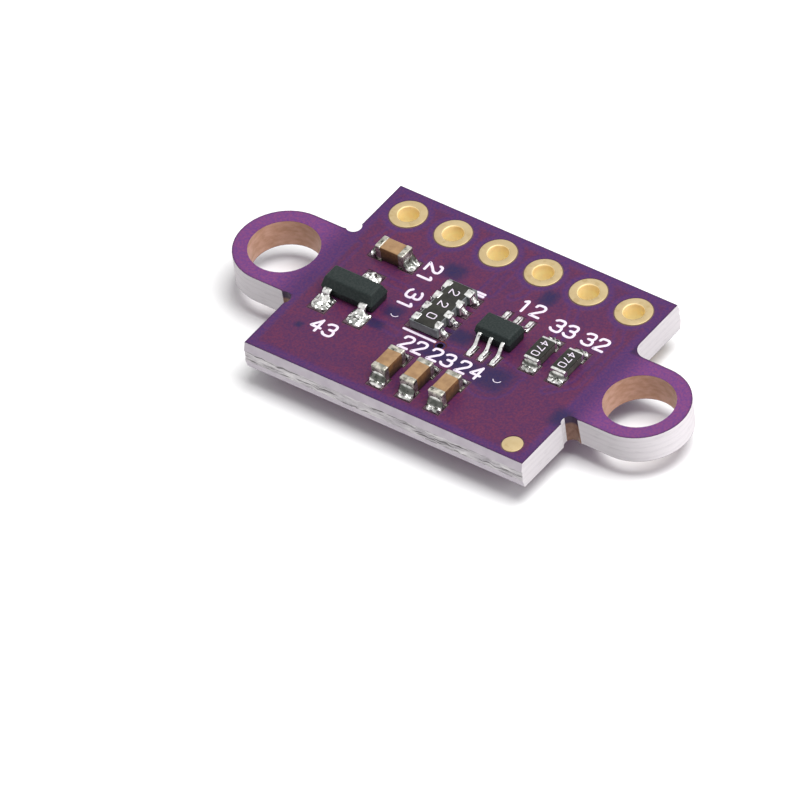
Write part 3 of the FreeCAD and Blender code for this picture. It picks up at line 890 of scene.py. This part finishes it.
def torn_cutter(side):
    """A slab outside one long side whose inner face wanders in by up to the tear depth."""
    x = np.arange(-half_length - 0.2, half_length + 0.2, 0.05)
    z = np.linspace(web_low - 0.12, web_high + 0.12, 15)
    x, z = np.meshgrid(x, z, indexing="ij")
    shares = 0.5 + 0.3 * ripple(x, z * 0.6, 5 + side, 9, 0.5)
    shares += 0.2 * ripple(x * 0.5, z, 8 + side, 9, 0.16)
    fade = smooth(z, web_low - 0.1, web_low + 0.03)
    fade *= 1 - smooth(z, web_high - 0.03, web_high + 0.1)
    inner = core_high[1] - tear_depth * np.clip(shares, 0, 1) * fade + 0.05 * (1 - fade)
    points, faces = slab(x, z, -inner, -core_high[1] - 0.4)
    turned = np.stack([points[:, 0], -points[:, 2], points[:, 1]], axis=-1)
    return turned * [side, side, 1], faces


def face_values(mesh, name):
    """The centre in metres, or the normal, of each face of a mesh."""
    flat = np.empty(len(mesh.polygons) * 3)
    mesh.polygons.foreach_get(name, flat)
    return flat.reshape(-1, 3)


def choose_finish(mesh, kinds):
    """Give each face the finish whose number in the mesh's list is in kinds."""
    mesh.polygons.foreach_set("material_index", kinds.astype(np.int32))


def core_finish_of(centre, normal):
    """0 pale edge, 1 torn web, 2 ear hole, 3 bare face in an opening (painted shadow), 4 scored
    wall, 5 relief.
    """
    x, y, z = centre.T
    from_middle, upright = np.abs(y), np.abs(normal[:, 2])
    torn = (from_middle > core_high[1] - tear_depth - 0.06) & (upright < 0.95)
    torn &= (z > web_low - 0.02) & (z < web_high + 0.02)
    drilled = np.hypot(np.abs(x) - ear_x, y) < ear_hole + 0.06
    off_side = np.abs(x) - half_length
    relief = np.hypot(off_side - relief_off_side, from_middle - ear_outside - relief_off_ear) < 0.4
    relief &= (off_side > -0.2) & ~((x > 0) & (y > 0)) & (normal[:, 1] * np.sign(y) > 0.25)
    scored = (from_middle > core_high[1] - 0.2) & (np.abs(normal[:, 0]) < 0.003)
    scored &= np.abs(upright - math.sin(score_lean)) < 0.01
    return np.select([upright > 0.97, drilled, relief, scored, torn], [3, 2, 5, 4, 1], 0)


core_mesh = solid_copy("laminate_core")
for side in (1, -1):
    core_mesh = combined(core_mesh, raw_mesh(*torn_cutter(side)), "DIFFERENCE")
kinds = core_finish_of(face_values(core_mesh, "center") / MM, face_values(core_mesh, "normal"))
core_finishes = [edge_finish, web_finish, wall_finish, gap_shadow_finish, groove_finish, relief_finish]
dress("laminate_board", core_mesh, core_finishes, ["laminate_core"], sharp=30)
choose_finish(core_mesh, kinds)
print("core", len(kinds), "faces, kinds", np.bincount(kinds))

# %% [markdown]
# ## Plated holes
# A plated hole is one skin of metal: a ring on each face and a barrel between them. It is turned on
# a lathe: a closed profile of radius and height goes round the hole's axis. The rims are rounded,
# the ring's outline wanders by up to 0.02 mm as etched copper does, and the mouth is eased.

# %% Turn the plated holes
bore_limit = 0.525


def lathe(profile, wobble=0.0, seed=1, count=96):
    """A closed profile (radius, height) carried round the vertical.

    The outer points' radius shrinks by wobble times a sum of two waves.
    """
    angle = np.arange(count) * 2 * np.pi / count
    radius, height = np.array(profile).T
    phase = np.random.default_rng(seed).uniform(0, 6, 2)
    wave = 0.5 + 0.3 * np.sin(2 * angle + phase[0]) + 0.2 * np.sin(5 * angle + phase[1])
    outer = smooth(radius, radius.max() * 0.8, radius.max())
    ring = radius[:, None] * (1 - wobble * outer[:, None] * wave[None, :])
    points = np.stack([ring * np.cos(angle), ring * np.sin(angle),
                       np.broadcast_to(height[:, None], ring.shape)], axis=-1)
    return points.reshape(-1, 3), grid_quads(len(radius), count, True, True).tolist()


def placed(part, x, y, turn=0.0):
    """A (points, faces) turned about the vertical by some degrees, then moved."""
    points, faces = part
    turned = points @ rotation(math.radians(turn), 0, 1).T
    return turned + [x, y, 0], faces


def eyelet_profile(low, high, bore=0.5, thick=0.05, rim=0.03, mouth=0.06):
    """Up the bore, over the upper ring, down the barrel's outside and round the lower ring."""
    upper = [(bore, high - mouth)] + arc((bore + mouth, high - mouth), mouth, 180, 90)
    upper += arc((ring_radius - rim, high - rim), rim, 90, 0) + [(ring_radius, high - thick)]
    lower = [(ring_radius, low + thick)] + arc((ring_radius - rim, low + rim), rim, 0, -90)
    lower += arc((bore + mouth, low + mouth), mouth, 270, 180)
    wall = [(bore + 0.03, high - thick), (bore + 0.03, low + thick)]
    return upper + wall + lower


eyelet_low, eyelet_high = corners("header_eyelet_1")
for number, hole_x in enumerate(pin_x, 1):
    turned = lathe(eyelet_profile(eyelet_low[2], eyelet_high[2]), 0.02, number)
    hole = add_piece("plated_hole_%d" % number, *placed(turned, hole_x, pin_y), gold_finish, "gold",
                     ["header_eyelet_%d" % number])
    hole.data.materials.append(lit_bore_finish)
    reach = face_values(hole.data, "center")[:, :2] / MM - [hole_x, pin_y]
    choose_finish(hole.data, np.hypot(*reach.T) < bore_limit)
spot_low, spot_high = corners("fiducial_pad")
spot_radius = (spot_high[0] - spot_low[0]) / 2
spot = [(0.001, spot_high[2])] + arc((spot_radius - 0.02, spot_high[2] - 0.02), 0.02, 90, 0)
spot = lathe(spot + [(spot_radius, spot_low[2]), (0.001, spot_low[2])], 0.015, 9)
add_piece("bare_gold_spot", *placed(spot, *middle("fiducial_pad")[:2]), gold_finish, "gold",
          ["fiducial_pad"])
print("plated holes at", pin_x.round(2), "and a spot", round(2 * spot_radius, 2), "mm across")

# %% [markdown]
# ## Solder joints
# Solder wets a land and climbs the end of a chip in a hollow curve, and freezes in lumps. Each
# joint is a height field over its land. Under the chip it is a thin film; from the chip's end
# outwards it falls from the wetted height to a low toe along a power curve, with soft lumps near
# the toe.

# %% Joints at the ends of chips
film = 0.02
toe = 0.03
residue_reflection_strength = 0.85
residue_reflection_blur = 0.06


def chip_joint(inner, wall, outer, half_width, rise, seed, lump=0.1, hollow=2.2, climb_side=0.45):
    """A joint at the +X end of a chip, as (points, faces) above its land.

    Height: toe + (rise - toe) (1 - run)^hollow, less at the sides, plus ripples.
    """
    rows = np.concatenate([[inner, wall - 0.004], np.linspace(wall, outer, 24)])
    along, across = np.meshgrid(rows, np.linspace(-1, 1, 21), indexing="ij")
    run = np.clip((along - wall) / (outer - wall), 0, 1)
    waver = 0.5 + 0.5 * ripple(across * 0.5, np.full_like(across, seed), seed + 9, 5, 0.4)
    x = along - (outer - wall) * run * (0.16 * across ** 4 + 0.1 * waver)
    y = across * half_width * (1 - 0.3 * run ** 2 * (0.4 + 0.6 * waver))
    climb = (1 - run) ** hollow * (1 - climb_side * np.abs(across) ** 3)
    wet = np.exp(-((run - 0.72) / 0.26) ** 2) * (1 - across ** 2)
    rough = 0.5 + 0.5 * ripple(x, y, seed, 8, 0.3)
    inside = (1 - across ** 6) * (1 - run ** 8)
    top = toe + (rise - toe) * climb + lump * wet * np.clip(rough, 0.1, 1)
    random = np.random.default_rng(seed)
    for middle_line in (-0.62, 0.04, 0.66):
        bead = ((run - random.uniform(0.66, 0.84)) / 0.15) ** 2
        bead += ((across - middle_line) / 0.24) ** 2
        top += random.uniform(0.05, 0.13) * np.exp(-bead)
    top += 0.02 * ripple(x, y, seed + 50, 8, 0.15) * inside * smooth(run, 0.05, 0.3)
    top = np.where(along < wall, film, np.maximum(top, toe * 0.7))
    return slab(x, y, top, 0.0)


def box_of(*nodes):
    """Lowest and highest corner of several solids together."""
    lows, highs = zip(*(corners(name) for name in nodes))
    return np.min(lows, axis=0), np.max(highs, axis=0)


def upright_chip(nodes):
    """A chip's length and width, its middle and its turn in degrees."""
    low, high = box_of(*nodes)
    length, width = (high - low)[:2]
    turn = 90.0 if width > length else 0.0
    return max(length, width), min(length, width), (low + high) / 2, turn


def paint_residue_and_reflection(piece, low, high):
    """A dark band on a joint between two heights above the lands: flux residue and a painted dark
    reflection.
    """
    up = points_of(piece.data)[:, 2] - land_top
    cover = smooth(up, low, low + residue_reflection_blur) * (1 - smooth(up, high - residue_reflection_blur, high))
    paint(piece.data, "residue_and_reflection", residue_reflection_strength * cover)


print("joints ready")

# %% [markdown]
# ## Rounded blocks
# Chips, caps and glaze are blocks whose edges are worn or run round. A rounded block is a stack of
# rings. Each ring is a rectangle with round corners, drawn in near the bottom and the top along a
# quarter circle. A Bevel would round a box too, but points made here can be pushed about before
# they become a mesh, as the wavy edge of an end cap needs.

# %% Block helpers


def joined(parts):
    """Several (points, faces) as one."""
    points, faces, count = [], [], 0
    for some_points, some_faces in parts:
        points.append(some_points)
        faces += [[corner + count for corner in face] for face in some_faces]
        count += len(some_points)
    return np.vstack(points), faces


def lifted(part, height):
    points, faces = part
    return points + [0, 0, height], faces


def round_corners(half_x, half_y, radius, count=32):
    """A rectangle with round corners, as points (count, 2).

    Each point is the nearest corner's centre plus the radius along its own direction.
    """
    angle = (np.arange(count) + 0.5) * 2 * np.pi / count
    way = np.stack([np.cos(angle), np.sin(angle)], axis=-1)
    centre = np.sign(way) * [half_x - radius, half_y - radius]
    return centre + radius * way


def rounded_block(low, high, radius, steps=6):
    """A closed block between two corners with every edge rounded.

    The rings climb a quarter circle, so their inset is radius times one less its cosine.
    """
    low, high = np.asarray(low, float), np.asarray(high, float)
    half = (high - low) / 2
    lift = np.radians(np.concatenate([np.linspace(-90, 0, steps), np.linspace(0, 90, steps)]))
    inset = radius * (1 - np.cos(lift))
    level = np.sign(np.arange(2 * steps) - steps + 0.5) * (half[2] - radius) + radius * np.sin(lift)
    rings = [np.column_stack([round_corners(half[0] - gap, half[1] - gap, max(radius - gap, 0.004)),
                              np.full(32, height)]) for gap, height in zip(inset, level)]
    return placed(stacked(np.array(rings) + [0, 0, (low[2] + high[2]) / 2]),
                  (low[0] + high[0]) / 2, (low[1] + high[1]) / 2)


def centred_block(length, width, low, high, radius, steps=6):
    """A rounded block round the origin, between two heights."""
    corner = np.array([length / 2, width / 2, 0])
    return rounded_block([0, 0, low] - corner, [0, 0, high] + corner, radius, steps)


print("block helpers ready")

# %% [markdown]
# ## Chip capacitors
# A block of tan ceramic with a thick plated cap over each end. The caps' inner edges wander a
# little, because the metal is dipped on. Every edge is tumbled round. A chip is built along X round
# its own middle; its second end is the first one turned round.

# %% Build the capacitors
end_reach = 0.45
side_reach = 0.03


def end_cap(length, width, low, high, band, seed):
    """The cap at the +X end: a rounded block whose inner edge is wavy."""
    points, faces = rounded_block((length / 2 - band, -width / 2, low),
                                  (length / 2, width / 2, high), 0.06)
    inner = smooth(points[:, 0], length / 2 - 0.5 * band, length / 2 - band)
    points[:, 0] += 0.022 * inner * ripple(points[:, 1], points[:, 2], seed, 6, 0.5)
    return points, faces


def dress_ends(name, label, caps, band, finish, cap_seed, rise, joint_seed, lump, band_top):
    """The metal and the solder at both ends of a chip."""
    length, width, centre, turn = upright_chip(caps)
    low, high = box_of(*caps)
    ends, joints = [], []
    for end in (0, 1):
        cap = end_cap(length, width, low[2], high[2], band, cap_seed + end)
        joint = chip_joint(length / 2 - band, length / 2, length / 2 + end_reach,
                           width / 2 + side_reach, rise, joint_seed + end, lump)
        ends.append(placed(cap, 0, 0, 180 * end))
        joints.append(placed(joint, 0, 0, 180 * end))
    add_piece(name + label, *placed(joined(ends), *centre[:2], turn), finish, "tin", caps)
    joints = lifted(placed(joined(joints), *centre[:2], turn), land_top)
    solder = add_piece(name + "_joints", *joints, solder_finish, "solder", [name + "_solder"],
                       sharp=60)
    # Paints a dark band up the joint's climb: flux residue and painted reflection.
    paint_residue_and_reflection(solder, low=0.12, high=band_top)


def dress_capacitor(name, seed):
    caps = [name + "_cap_left", name + "_cap_right"]
    length, width, centre, turn = upright_chip(caps)
    ceramic_low, ceramic_high = corners(name + "_ceramic")
    cap_low, cap_high = corners(caps[0])
    band = (cap_high - cap_low)[1 if turn else 0]
    body = centred_block(length - 0.1, width - 0.04, ceramic_low[2] - 0.01, ceramic_high[2] + 0.01,
                         0.05)
    block = add_piece(name + "_block", *placed(body, *centre[:2], turn), ceramic_finish,
                      "capacitor_ceramic", [name + "_ceramic"])
    block.data.materials.append(shaded_side_finish)
    # Faces that aren't on top get the flank finish with its painted shade.
    choose_finish(block.data, face_values(block.data, "normal")[:, 2] < 0.6)
    dress_ends(name, "_caps", caps, band, tin_finish, cap_seed=seed, rise=0.52,
               joint_seed=seed * 3, lump=0.13, band_top=0.46)


for number in range(1, 5):
    dress_capacitor("capacitor_%d" % number, 20 + 7 * number)
print(number, "capacitors")

# %% [markdown]
# ## Chip resistors
# An alumina chip, a bright terminal wrapped round each end, and a black glaze over the middle with
# its value fired on. The glaze is a thin pillow that laps a little over the terminals.

# %% Build the resistors
bare_end = 0.13


def dress_resistor(name, seed):
    ends = [name + "_terminals"]
    length, width, centre, turn = upright_chip(ends)
    low, high = box_of(*ends)
    glaze_low, glaze_high = corners(name + "_glaze")
    band = (length - max(glaze_high[:2] - glaze_low[:2])) / 2
    chip = centred_block(length - 0.06, width - 0.02, low[2] + 0.02, high[2] - 0.02, 0.02, 4)
    add_piece(name + "_chip", *placed(chip, *centre[:2], turn), alumina_shade_finish, "alumina",
              [name + "_alumina"])
    pillow = centred_block(length - 2 * bare_end, width + 0.008, high[2] - 0.06,
                           glaze_high[2] + 0.02, 0.028, 5)
    add_piece(name + "_glaze_pillow", *placed(pillow, *centre[:2], turn), glaze_finish, "glaze",
              [name + "_glaze"])
    dress_ends(name, "_ends", ends, band, lead_finish, cap_seed=seed, rise=0.36,
               joint_seed=seed * 5, lump=0.14, band_top=0.3)


for number, seed in ((1, 61), (2, 72)):
    dress_resistor("resistor_%d" % number, seed)
print(number, "resistors")

# %% [markdown]
# ## The resistor array
# Four resistors on one chip. Solder has covered its eight terminals in drops, and long thin joints
# run down from the terminals on both sides.

# %% Build the array
array_rows = 4
array_pitch = 0.8
array_terminal = 0.46
array_toe = 0.28


def dress_array():
    low, high = corners("array_terminals")
    centre = (low + high) / 2
    half = (high[0] - low[0]) / 2
    glaze_low, glaze_high = corners("array_glaze")
    band = half - (glaze_high[0] - glaze_low[0]) / 2
    pillow = rounded_block((low[0] + 0.24, glaze_low[1], high[2] - 0.07),
                           (high[0] - 0.24, glaze_high[1], glaze_high[2] + 0.012), 0.03, 5)
    add_piece("array_glaze_pillow", *pillow, glaze_finish, "glaze", ["array_glaze"])
    drops, joints = [], []
    for number in range(2 * array_rows):
        row, side = divmod(number, 2)
        place = (centre[0], centre[1] + (row - (array_rows - 1) / 2) * array_pitch, 180 * side)
        points, faces = rounded_block((half - band, -array_terminal / 2, low[2]),
                                      (half, array_terminal / 2, high[2] + 0.03), 0.07)
        lumps = ripple(points[:, 0], points[:, 1], 90 + number, 6, 0.4)
        points[:, 2] += 0.03 * smooth(points[:, 2], high[2] - 0.1, high[2]) * lumps
        joint = chip_joint(half - band, half, half + array_toe, half_width=0.13, rise=0.42,
                           seed=130 + number, lump=0.01, hollow=1.2)
        drops.append(placed((points, faces), *place))
        joints.append(placed(joint, *place))
    add_piece("array_ends", *joined(drops), lead_finish, "tin", ["array_terminals"])
    add_piece("array_joints", *lifted(joined(joints), land_top), lead_finish, "solder",
              ["array_solder"], sharp=60)


dress_array()

# %% [markdown]
# ## Moulded cases
# The two leaded parts are moulded in epoxy. A mould opens along a parting line, so the case leans
# in above and below it, with a faint step at the line. The rings climb the case: their half
# lengths follow the two drafts, and the top edge is a quarter circle.

# %% Shape a moulded case


def moulded_case(low, high, parting, lean_x, lean_y, draft=0.06, edge=0.07):
    """A case between two corners, widest at its parting line.

    Each level has its inset in X and Y: draft below the line, lean above it.
    """
    half = (high - low) / 2
    step = 0.012
    slack = 0.02
    levels = [(low[2] + 0.001, 0.9 * draft + slack, 0.9 * draft + slack),
              (low[2] + 0.03, draft, draft),
              (parting - step, 0.1 * draft + slack, 0.1 * draft + slack),
              (parting, 0.0, 0.0), (parting + step, step / 2, step / 2)]
    for angle in np.radians(np.linspace(0, 90, 7)):
        height = high[2] - edge * (1 - math.sin(angle))
        share = (height - parting) / (high[2] - parting)
        pull = edge * (1 - math.cos(angle)) * 0.9
        levels.append((height, lean_x * share + pull, lean_y * share + pull))
    rings = [np.column_stack([round_corners(half[0] - in_x, half[1] - in_y, 0.07, 40),
                              np.full(40, height)]) for height, in_x, in_y in levels]
    return placed(stacked(np.array(rings)), (low[0] + high[0]) / 2, (low[1] + high[1]) / 2)


print("case helper ready")

# %% [markdown]
# ## Bent leads
# A lead is one strip with two bends: out of the case, down, and out again as a foot on its land.
# Its middle follows straight runs with soft corners. Its solder is a height field over the land.

# %% Shape leads and their joints


def bent_path(corner_points, radius, steps=7):
    """A path of straight runs whose corners are parabolas tangent to both runs."""
    pieces = [corner_points[:1]]
    share = np.linspace(0, 1, steps)[:, None]
    for before, corner, after in zip(corner_points, corner_points[1:], corner_points[2:]):
        start = corner + (before - corner) * min(radius / np.linalg.norm(before - corner), 0.5)
        end = corner + (after - corner) * min(radius / np.linalg.norm(after - corner), 0.5)
        bend = (1 - share) ** 2 * start + 2 * share * (1 - share) * corner
        pieces.append(bend + share ** 2 * end)
    return np.vstack(pieces + [corner_points[-1:]])


def carried_strip(path, width, thickness, count=16):
    """A rounded strip whose middle follows a path of (along, up) points."""
    tangent = np.gradient(path, axis=0)
    tangent /= np.linalg.norm(tangent, axis=1)[:, None]
    across = np.stack([-tangent[:, 1], tangent[:, 0]], axis=-1)
    section = round_corners(width / 2, thickness / 2, thickness * 0.32, count)
    centre = path[:, None, :] + across[:, None, :] * section[None, :, 1:2]
    side = np.broadcast_to(section[None, :, 0:1], centre[:, :, :1].shape)
    rings = np.concatenate([centre[:, :, :1], side, centre[:, :, 1:]], axis=-1)
    return stacked(rings)


def lead_joint(start, heel, tip, end, foot, land, thickness, seed, climb, rough):
    """Solder over one land: high beside the foot and behind its heel, low at the land's rim."""
    along, across = np.meshgrid(np.linspace(start, end, 34), np.linspace(-1, 1, 25), indexing="ij")
    y = across * land / 2
    beyond = np.maximum(np.maximum(start + 0.25 - along, along - tip - 0.02), 0)
    aside = np.maximum(np.abs(y) - foot / 2 + 0.02, 0)
    away = np.hypot(beyond / max(end - tip, 0.05), aside / max((land - foot) / 2, 0.03))
    top = toe + (thickness * 0.95 - toe + film) * (1 - smooth(away, 0.0, 1.05))
    heap = np.exp(-((along - heel) / 0.13) ** 2) * (1 - smooth(np.abs(y), foot * 0.4, foot * 0.8))
    run = np.clip((along - tip) / (end - tip), 0, 1)
    inside = (1 - across ** 8) * (1 - run ** 8)
    top += climb * heap + inside * rough * ripple(along, y, seed, 9, 0.3)
    waver = 0.5 + 0.5 * ripple(across * 0.6, np.full_like(across, seed), seed + 9, 5, 0.5)
    x = along - (end - tip) * run * (0.3 * across ** 4 + 0.25 * waver)
    y = y * (1 - 0.16 * run ** 2)
    return slab(x, y, np.maximum(top, toe * 0.6), 0.0)


print("lead helpers ready")

# %% [markdown]
# ## The transistor and the level shifter
# Each part gets its case, and then a lead and a joint at every place, turned to face outward. The
# transistor has three leads and the level shifter has six.

# %% Dress the two leaded parts


def dress_leaded(name, places, lean, parting_up, shoulder, width, thickness, foot, toe_out, land,
                 seed, climb, rough, joint_finish):
    """A case with a lead and a joint at each of its (turn, offset) places."""
    low, high = corners(name + "_case")
    lead_low, lead_high = corners(name + "_leads")
    centre = (low + high) / 2
    case = moulded_case(low, high, land_top + parting_up, *lean)
    add_piece(name + "_moulding", *case, case_finish, "moulding", [name + "_case"], sharp=50)
    wall = (high[1] - low[1]) / 2
    tip = (lead_high[1] - lead_low[1]) / 2
    level = film + thickness / 2
    knee = wall + shoulder + thickness / 2
    heel = max(tip - foot, knee)
    route = np.array([(wall - 0.12, parting_up), (knee, parting_up), (heel, level), (tip, level)])
    lead = carried_strip(bent_path(route, 0.17), width, thickness)
    leads, joints = [], []
    for number, (turn, offset) in enumerate(places):
        joint = lead_joint(tip + toe_out - land[0], heel, tip, tip + toe_out, width, land[1],
                           thickness, seed + number, climb, rough)
        leads.append(placed(lead, centre[0] + offset, centre[1], turn))
        joints.append(placed(joint, centre[0] + offset, centre[1], turn))
    add_piece(name + "_wings", *lifted(joined(leads), land_top), lead_finish, "tin",
              [name + "_leads"])
    add_piece(name + "_joints", *lifted(joined(joints), land_top), joint_finish, "solder",
              [name + "_solder"], sharp=60)
    print(name, "with", len(leads), "leads")


dress_leaded("transistor", ((-90, -1.0), (-90, 1.0), (90, 0.0)), lean=(0.15, 0.22), parting_up=0.46,
             shoulder=0.1, width=0.42, thickness=0.13, foot=0.4, toe_out=0.45, land=(0.95, 0.95),
             seed=300, climb=0.24, rough=0.06, joint_finish=solder_finish)
dress_leaded("shifter", [(turn, offset) for turn in (-90, 90) for offset in (-0.65, 0.0, 0.65)],
             lean=(0.07, 0.12), parting_up=0.53, shoulder=-0.04, width=0.19, thickness=0.13,
             foot=0.38, toe_out=0.23, land=(0.75, 0.27), seed=340, climb=0.0, rough=0.0,
             joint_finish=lead_finish)

# %% [markdown]
# ## Printed numbers
# The board is printed by screen with a thick white ink, in numbers made of round-ended strokes. A
# stroke is a thin domed section carried along a smoothed path, whose width falls along a half
# circle at both ends. Each digit is one or two paths in a cell 4 wide and 6 high, so the numbers
# are plain counting numbers and no font is needed.

# %% Draw digits as strokes
digit_paths = {
    "0": [[(2, 6), (0.3, 6), (0, 4.5), (0, 1.5), (0.3, 0), (3.7, 0), (4, 1.5), (4, 4.5), (3.7, 6),
           (2, 6)]],
    "1": [[(0.9, 4.9), (2.2, 6), (2.2, 3), (2.2, 0)]],
    "2": [[(0.1, 4.7), (0.4, 6), (3.7, 6.1), (4, 4), (2, 2.2), (0, 0), (0, 0), (4, 0)]],
    "3": [[(0.1, 5.2), (1, 6), (3.8, 6.1), (3.9, 3.3), (1.8, 3.1)],
          [(1.8, 3.1), (4.2, 3), (4.1, 0), (1, -0.1), (0, 0.9)]],
    "4": [[(3, 0), (3, 3), (3, 6)], [(3, 6), (0, 2), (0, 2), (4.2, 2)]],
    "7": [[(0, 6), (4, 6), (4, 6), (2.4, 3), (1.4, 0)]],
}


def softened(path, times=2):
    """Corner cutting: each corner gives way to two points, a quarter in from it on either side."""
    for _ in range(times):
        first, last = path[:1], path[-1:]
        near = 0.75 * path[:-1] + 0.25 * path[1:]
        far = 0.25 * path[:-1] + 0.75 * path[1:]
        path = np.vstack([first, np.stack([near, far], axis=1).reshape(-1, 2), last])
    keep = np.r_[True, np.hypot(*np.diff(path, axis=0).T) > 1e-5]
    return path[keep]


def stroke(path, width, thick):
    """A flat domed ribbon along a path (n, 2), with round ends."""
    tangent = np.gradient(path, axis=0)
    tangent /= np.hypot(*tangent.T)[:, None]
    lead_in = np.array([1.0, 0.92, 0.7, 0.4])
    before = path[0] - tangent[0] * width / 2 * lead_in[:, None]
    after = path[-1] + tangent[-1] * width / 2 * lead_in[::-1, None]
    spine = np.vstack([before, path, after])
    heading = np.vstack([np.tile(tangent[0], (4, 1)), tangent, np.tile(tangent[-1], (4, 1))])
    share = np.concatenate([np.sqrt(1 - (lead_in * 0.98) ** 2), np.ones(len(path)),
                            np.sqrt(1 - (lead_in[::-1] * 0.98) ** 2)])
    across = np.stack([-heading[:, 1], heading[:, 0]], axis=-1)
    section = np.array([(-0.5, 0), (-0.46, 0.7), (-0.3, 1), (0.3, 1), (0.46, 0.7), (0.5, 0)])
    flat = spine[:, None] + across[:, None] * section[None, :, :1] * (width * share)[:, None, None]
    height = np.broadcast_to(section[None, :, 1:] * thick, flat[..., :1].shape)
    return stacked(np.concatenate([flat, height], axis=-1))


def printed_number(text, size, width, thick, gap=1.9):
    """A number as strokes, centred on its place and size millimetres high."""
    scale = size / 6
    advance = 4 + gap
    total = advance * len(text) - gap
    strokes = []
    for place, digit in enumerate(text):
        for order, path in enumerate(digit_paths[digit]):
            points = (np.array(path) + [place * advance - total / 2, -3]) * scale
            strokes.append(stroke(softened(points), width, thick * (1 - 0.12 * order)))
    return joined(strokes)


print("digits", *digit_paths)

# %% [markdown]
# ## Numbers beside the parts, and the printed bars
# Ink stands 0.016 mm above the coat. Numbers that belong to upright parts are turned a quarter
# turn. Two thin crescents of white ink are painted highlights on the rims where the coat has sunk
# into a closed via.

# %% Print the numbers on the board
ink_thick = 0.028
ink_low = board_top - 0.012
ink_width = 0.145
number_height = 0.74
highlight_radius = 0.22
highlight_width = 0.045
labels = [("22", -1.02, -2.27, 0), ("23", 0.58, -2.27, 0), ("24", 2.16, -2.27, 0),
          ("12", 2.22, 2.42, 0), ("33", 4.28, 2.1, 0), ("32", 6.02, 2.1, 0),
          ("21", -3.2, 1.95, -90), ("31", -2.95, 0.08, -90), ("43", -5.25, -3.42, 0)]
bars = [((-2.05, -1.58), (-0.3, -1.6)), ((-0.55, 2.06), (-0.15, 2.06)),
        ((-0.55, 1.9), (-0.15, 1.9))]
highlight_crescents = [((3.62, -2.12), -150, -20), ((-2.95, -0.98), -140, -30)]
ink = [placed(printed_number(text, number_height, ink_width, ink_thick), *place)
       for text, *place in labels]
ink += [stroke(np.linspace(start, end, 12), ink_width, ink_thick) for start, end in bars]
# The crescents are painted highlights, drawn in ink.
ink += [stroke(np.array(arc(place, highlight_radius, start, end, 16)), highlight_width,
               ink_thick * 0.7) for place, start, end in highlight_crescents]
add_piece("printed_numbers", *lifted(joined(ink), ink_low), ink_finish, "mask", sharp=60)
print(len(labels), "numbers and", len(bars), "bars")

# %% [markdown]
# ## Values on the resistors
# The values are fired on in a finer line, running along each chip. On the array the three digits
# are spread over its length.

# %% Print the values
value_thick = 0.012
value_width = 0.052


def print_value(name, text, size, gap, rise):
    """A value on a chip's glaze, rise millimetres above the solid's top."""
    glaze_low, glaze_high = corners(name + "_glaze")
    number = printed_number(text, size, value_width, value_thick, gap)
    number = placed(number, *middle(name + "_glaze")[:2], -90)
    add_piece(name + "_value", *lifted(number, glaze_high[2] + rise), ink_finish, "glaze", sharp=60)


for name in ("resistor_1", "resistor_2"):
    print_value(name, "470", size=0.37, gap=2.0, rise=0.012)
print_value("array", "220", size=0.44, gap=8.0, rise=0.017)
print("values printed")

# %% [markdown]
# ## An open via
# One small plated through-hole beside the array isn't covered by the coat. It shows as a dark hole
# with a reddish copper rim. The hole is a flat black disc of painted shade, and the coat round it
# is darkened by a pool of painted shade.

# %% Sink the via
via_place = (0.06, -1.68)
via_profile = [(0.26, board_top - 0.05), (0.26, board_top - 0.004), (0.275, board_top + 0.008),
               (0.305, board_top + 0.008), (0.32, board_top - 0.004), (0.32, board_top - 0.05)]
# A flat disc painted black stands in for the shade inside the hole.
plug_profile = [(0.001, board_top - 0.04), (0.001, board_top + 0.001), (0.15, board_top + 0.002),
                (0.15, board_top - 0.04)]
copper_finish = metal_finish("bare_copper", ((0.22, 0.05, 0.035), (0.14, 0.035, 0.03),
                                             (0.05, 0.02, 0.02)), 0.1, 0.35, 0.004)
hole_shade_finish = plain_finish("painted_hole_shade", ((0.002, 0.001, 0.002), (0.004, 0.002, 0.003)), 0.1, 0.9,
                           0.002, 0.02)
via_pieces = [("via_rim", lathe(via_profile, 0.03, 4, 40), copper_finish, "gold"),
              ("via_shadow", lathe(plug_profile, 0.0, 1, 40), hole_shade_finish, "mask")]
for name, turned, finish, slot in via_pieces:
    add_piece(name, *placed(turned, *via_place), finish, slot)
print("via at", via_place)

# %% [markdown]
# ## The sensor's cap
# The cap is moulded, so its edges and the mouths of its two apertures aren't razor sharp. A copy of
# the CAD solid gets a narrow Bevel, which is the plainest way to ease every edge at once.

# %% Ease the cap's edges


def eased_copy(name, node_name, finish, width, steps):
    """A copy of a solid with its flat faces whole and its sharp edges rounded by width mm."""
    mesh = solid_copy(node_name)
    reworked(mesh, lambda kit: bmesh.ops.dissolve_limit(kit, angle_limit=math.radians(1),
                                                        verts=kit.verts, edges=kit.edges))
    piece = dress(name, mesh, [finish], [node_name], sharp=30)
    ease = piece.modifiers.new("ease", "BEVEL")
    ease.width = width * MM
    ease.segments = steps
    ease.limit_method = "ANGLE"
    ease.angle_limit = math.radians(40)


eased_copy("sensor_cap", "sensor_housing", housing_finish, 0.035, 3)
eased_copy("sensor_base", "sensor_substrate", substrate_finish, 0.015, 2)
print("sensor eased")

# %% [markdown]
# ## The solids that stay
# The lands, the joints under the sensor, its windows and dies, and the array's ceramic keep their
# CAD shapes and get a finish each.

# %% Finish the remaining solids
kept = [("top_lands", land_shade_finish), ("bottom_lands", gold_finish), ("sensor_solder", solder_finish),
        ("emitter_window", window_finish), ("receiver_window", window_finish),
        ("emitter_die", silicon_finish), ("receiver_die", silicon_finish),
        ("array_ceramic", grey_ceramic_finish)]
for name, finish in kept:
    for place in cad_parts[name].material_slots:
        place.material = finish
print(len(kept), "solids finished")
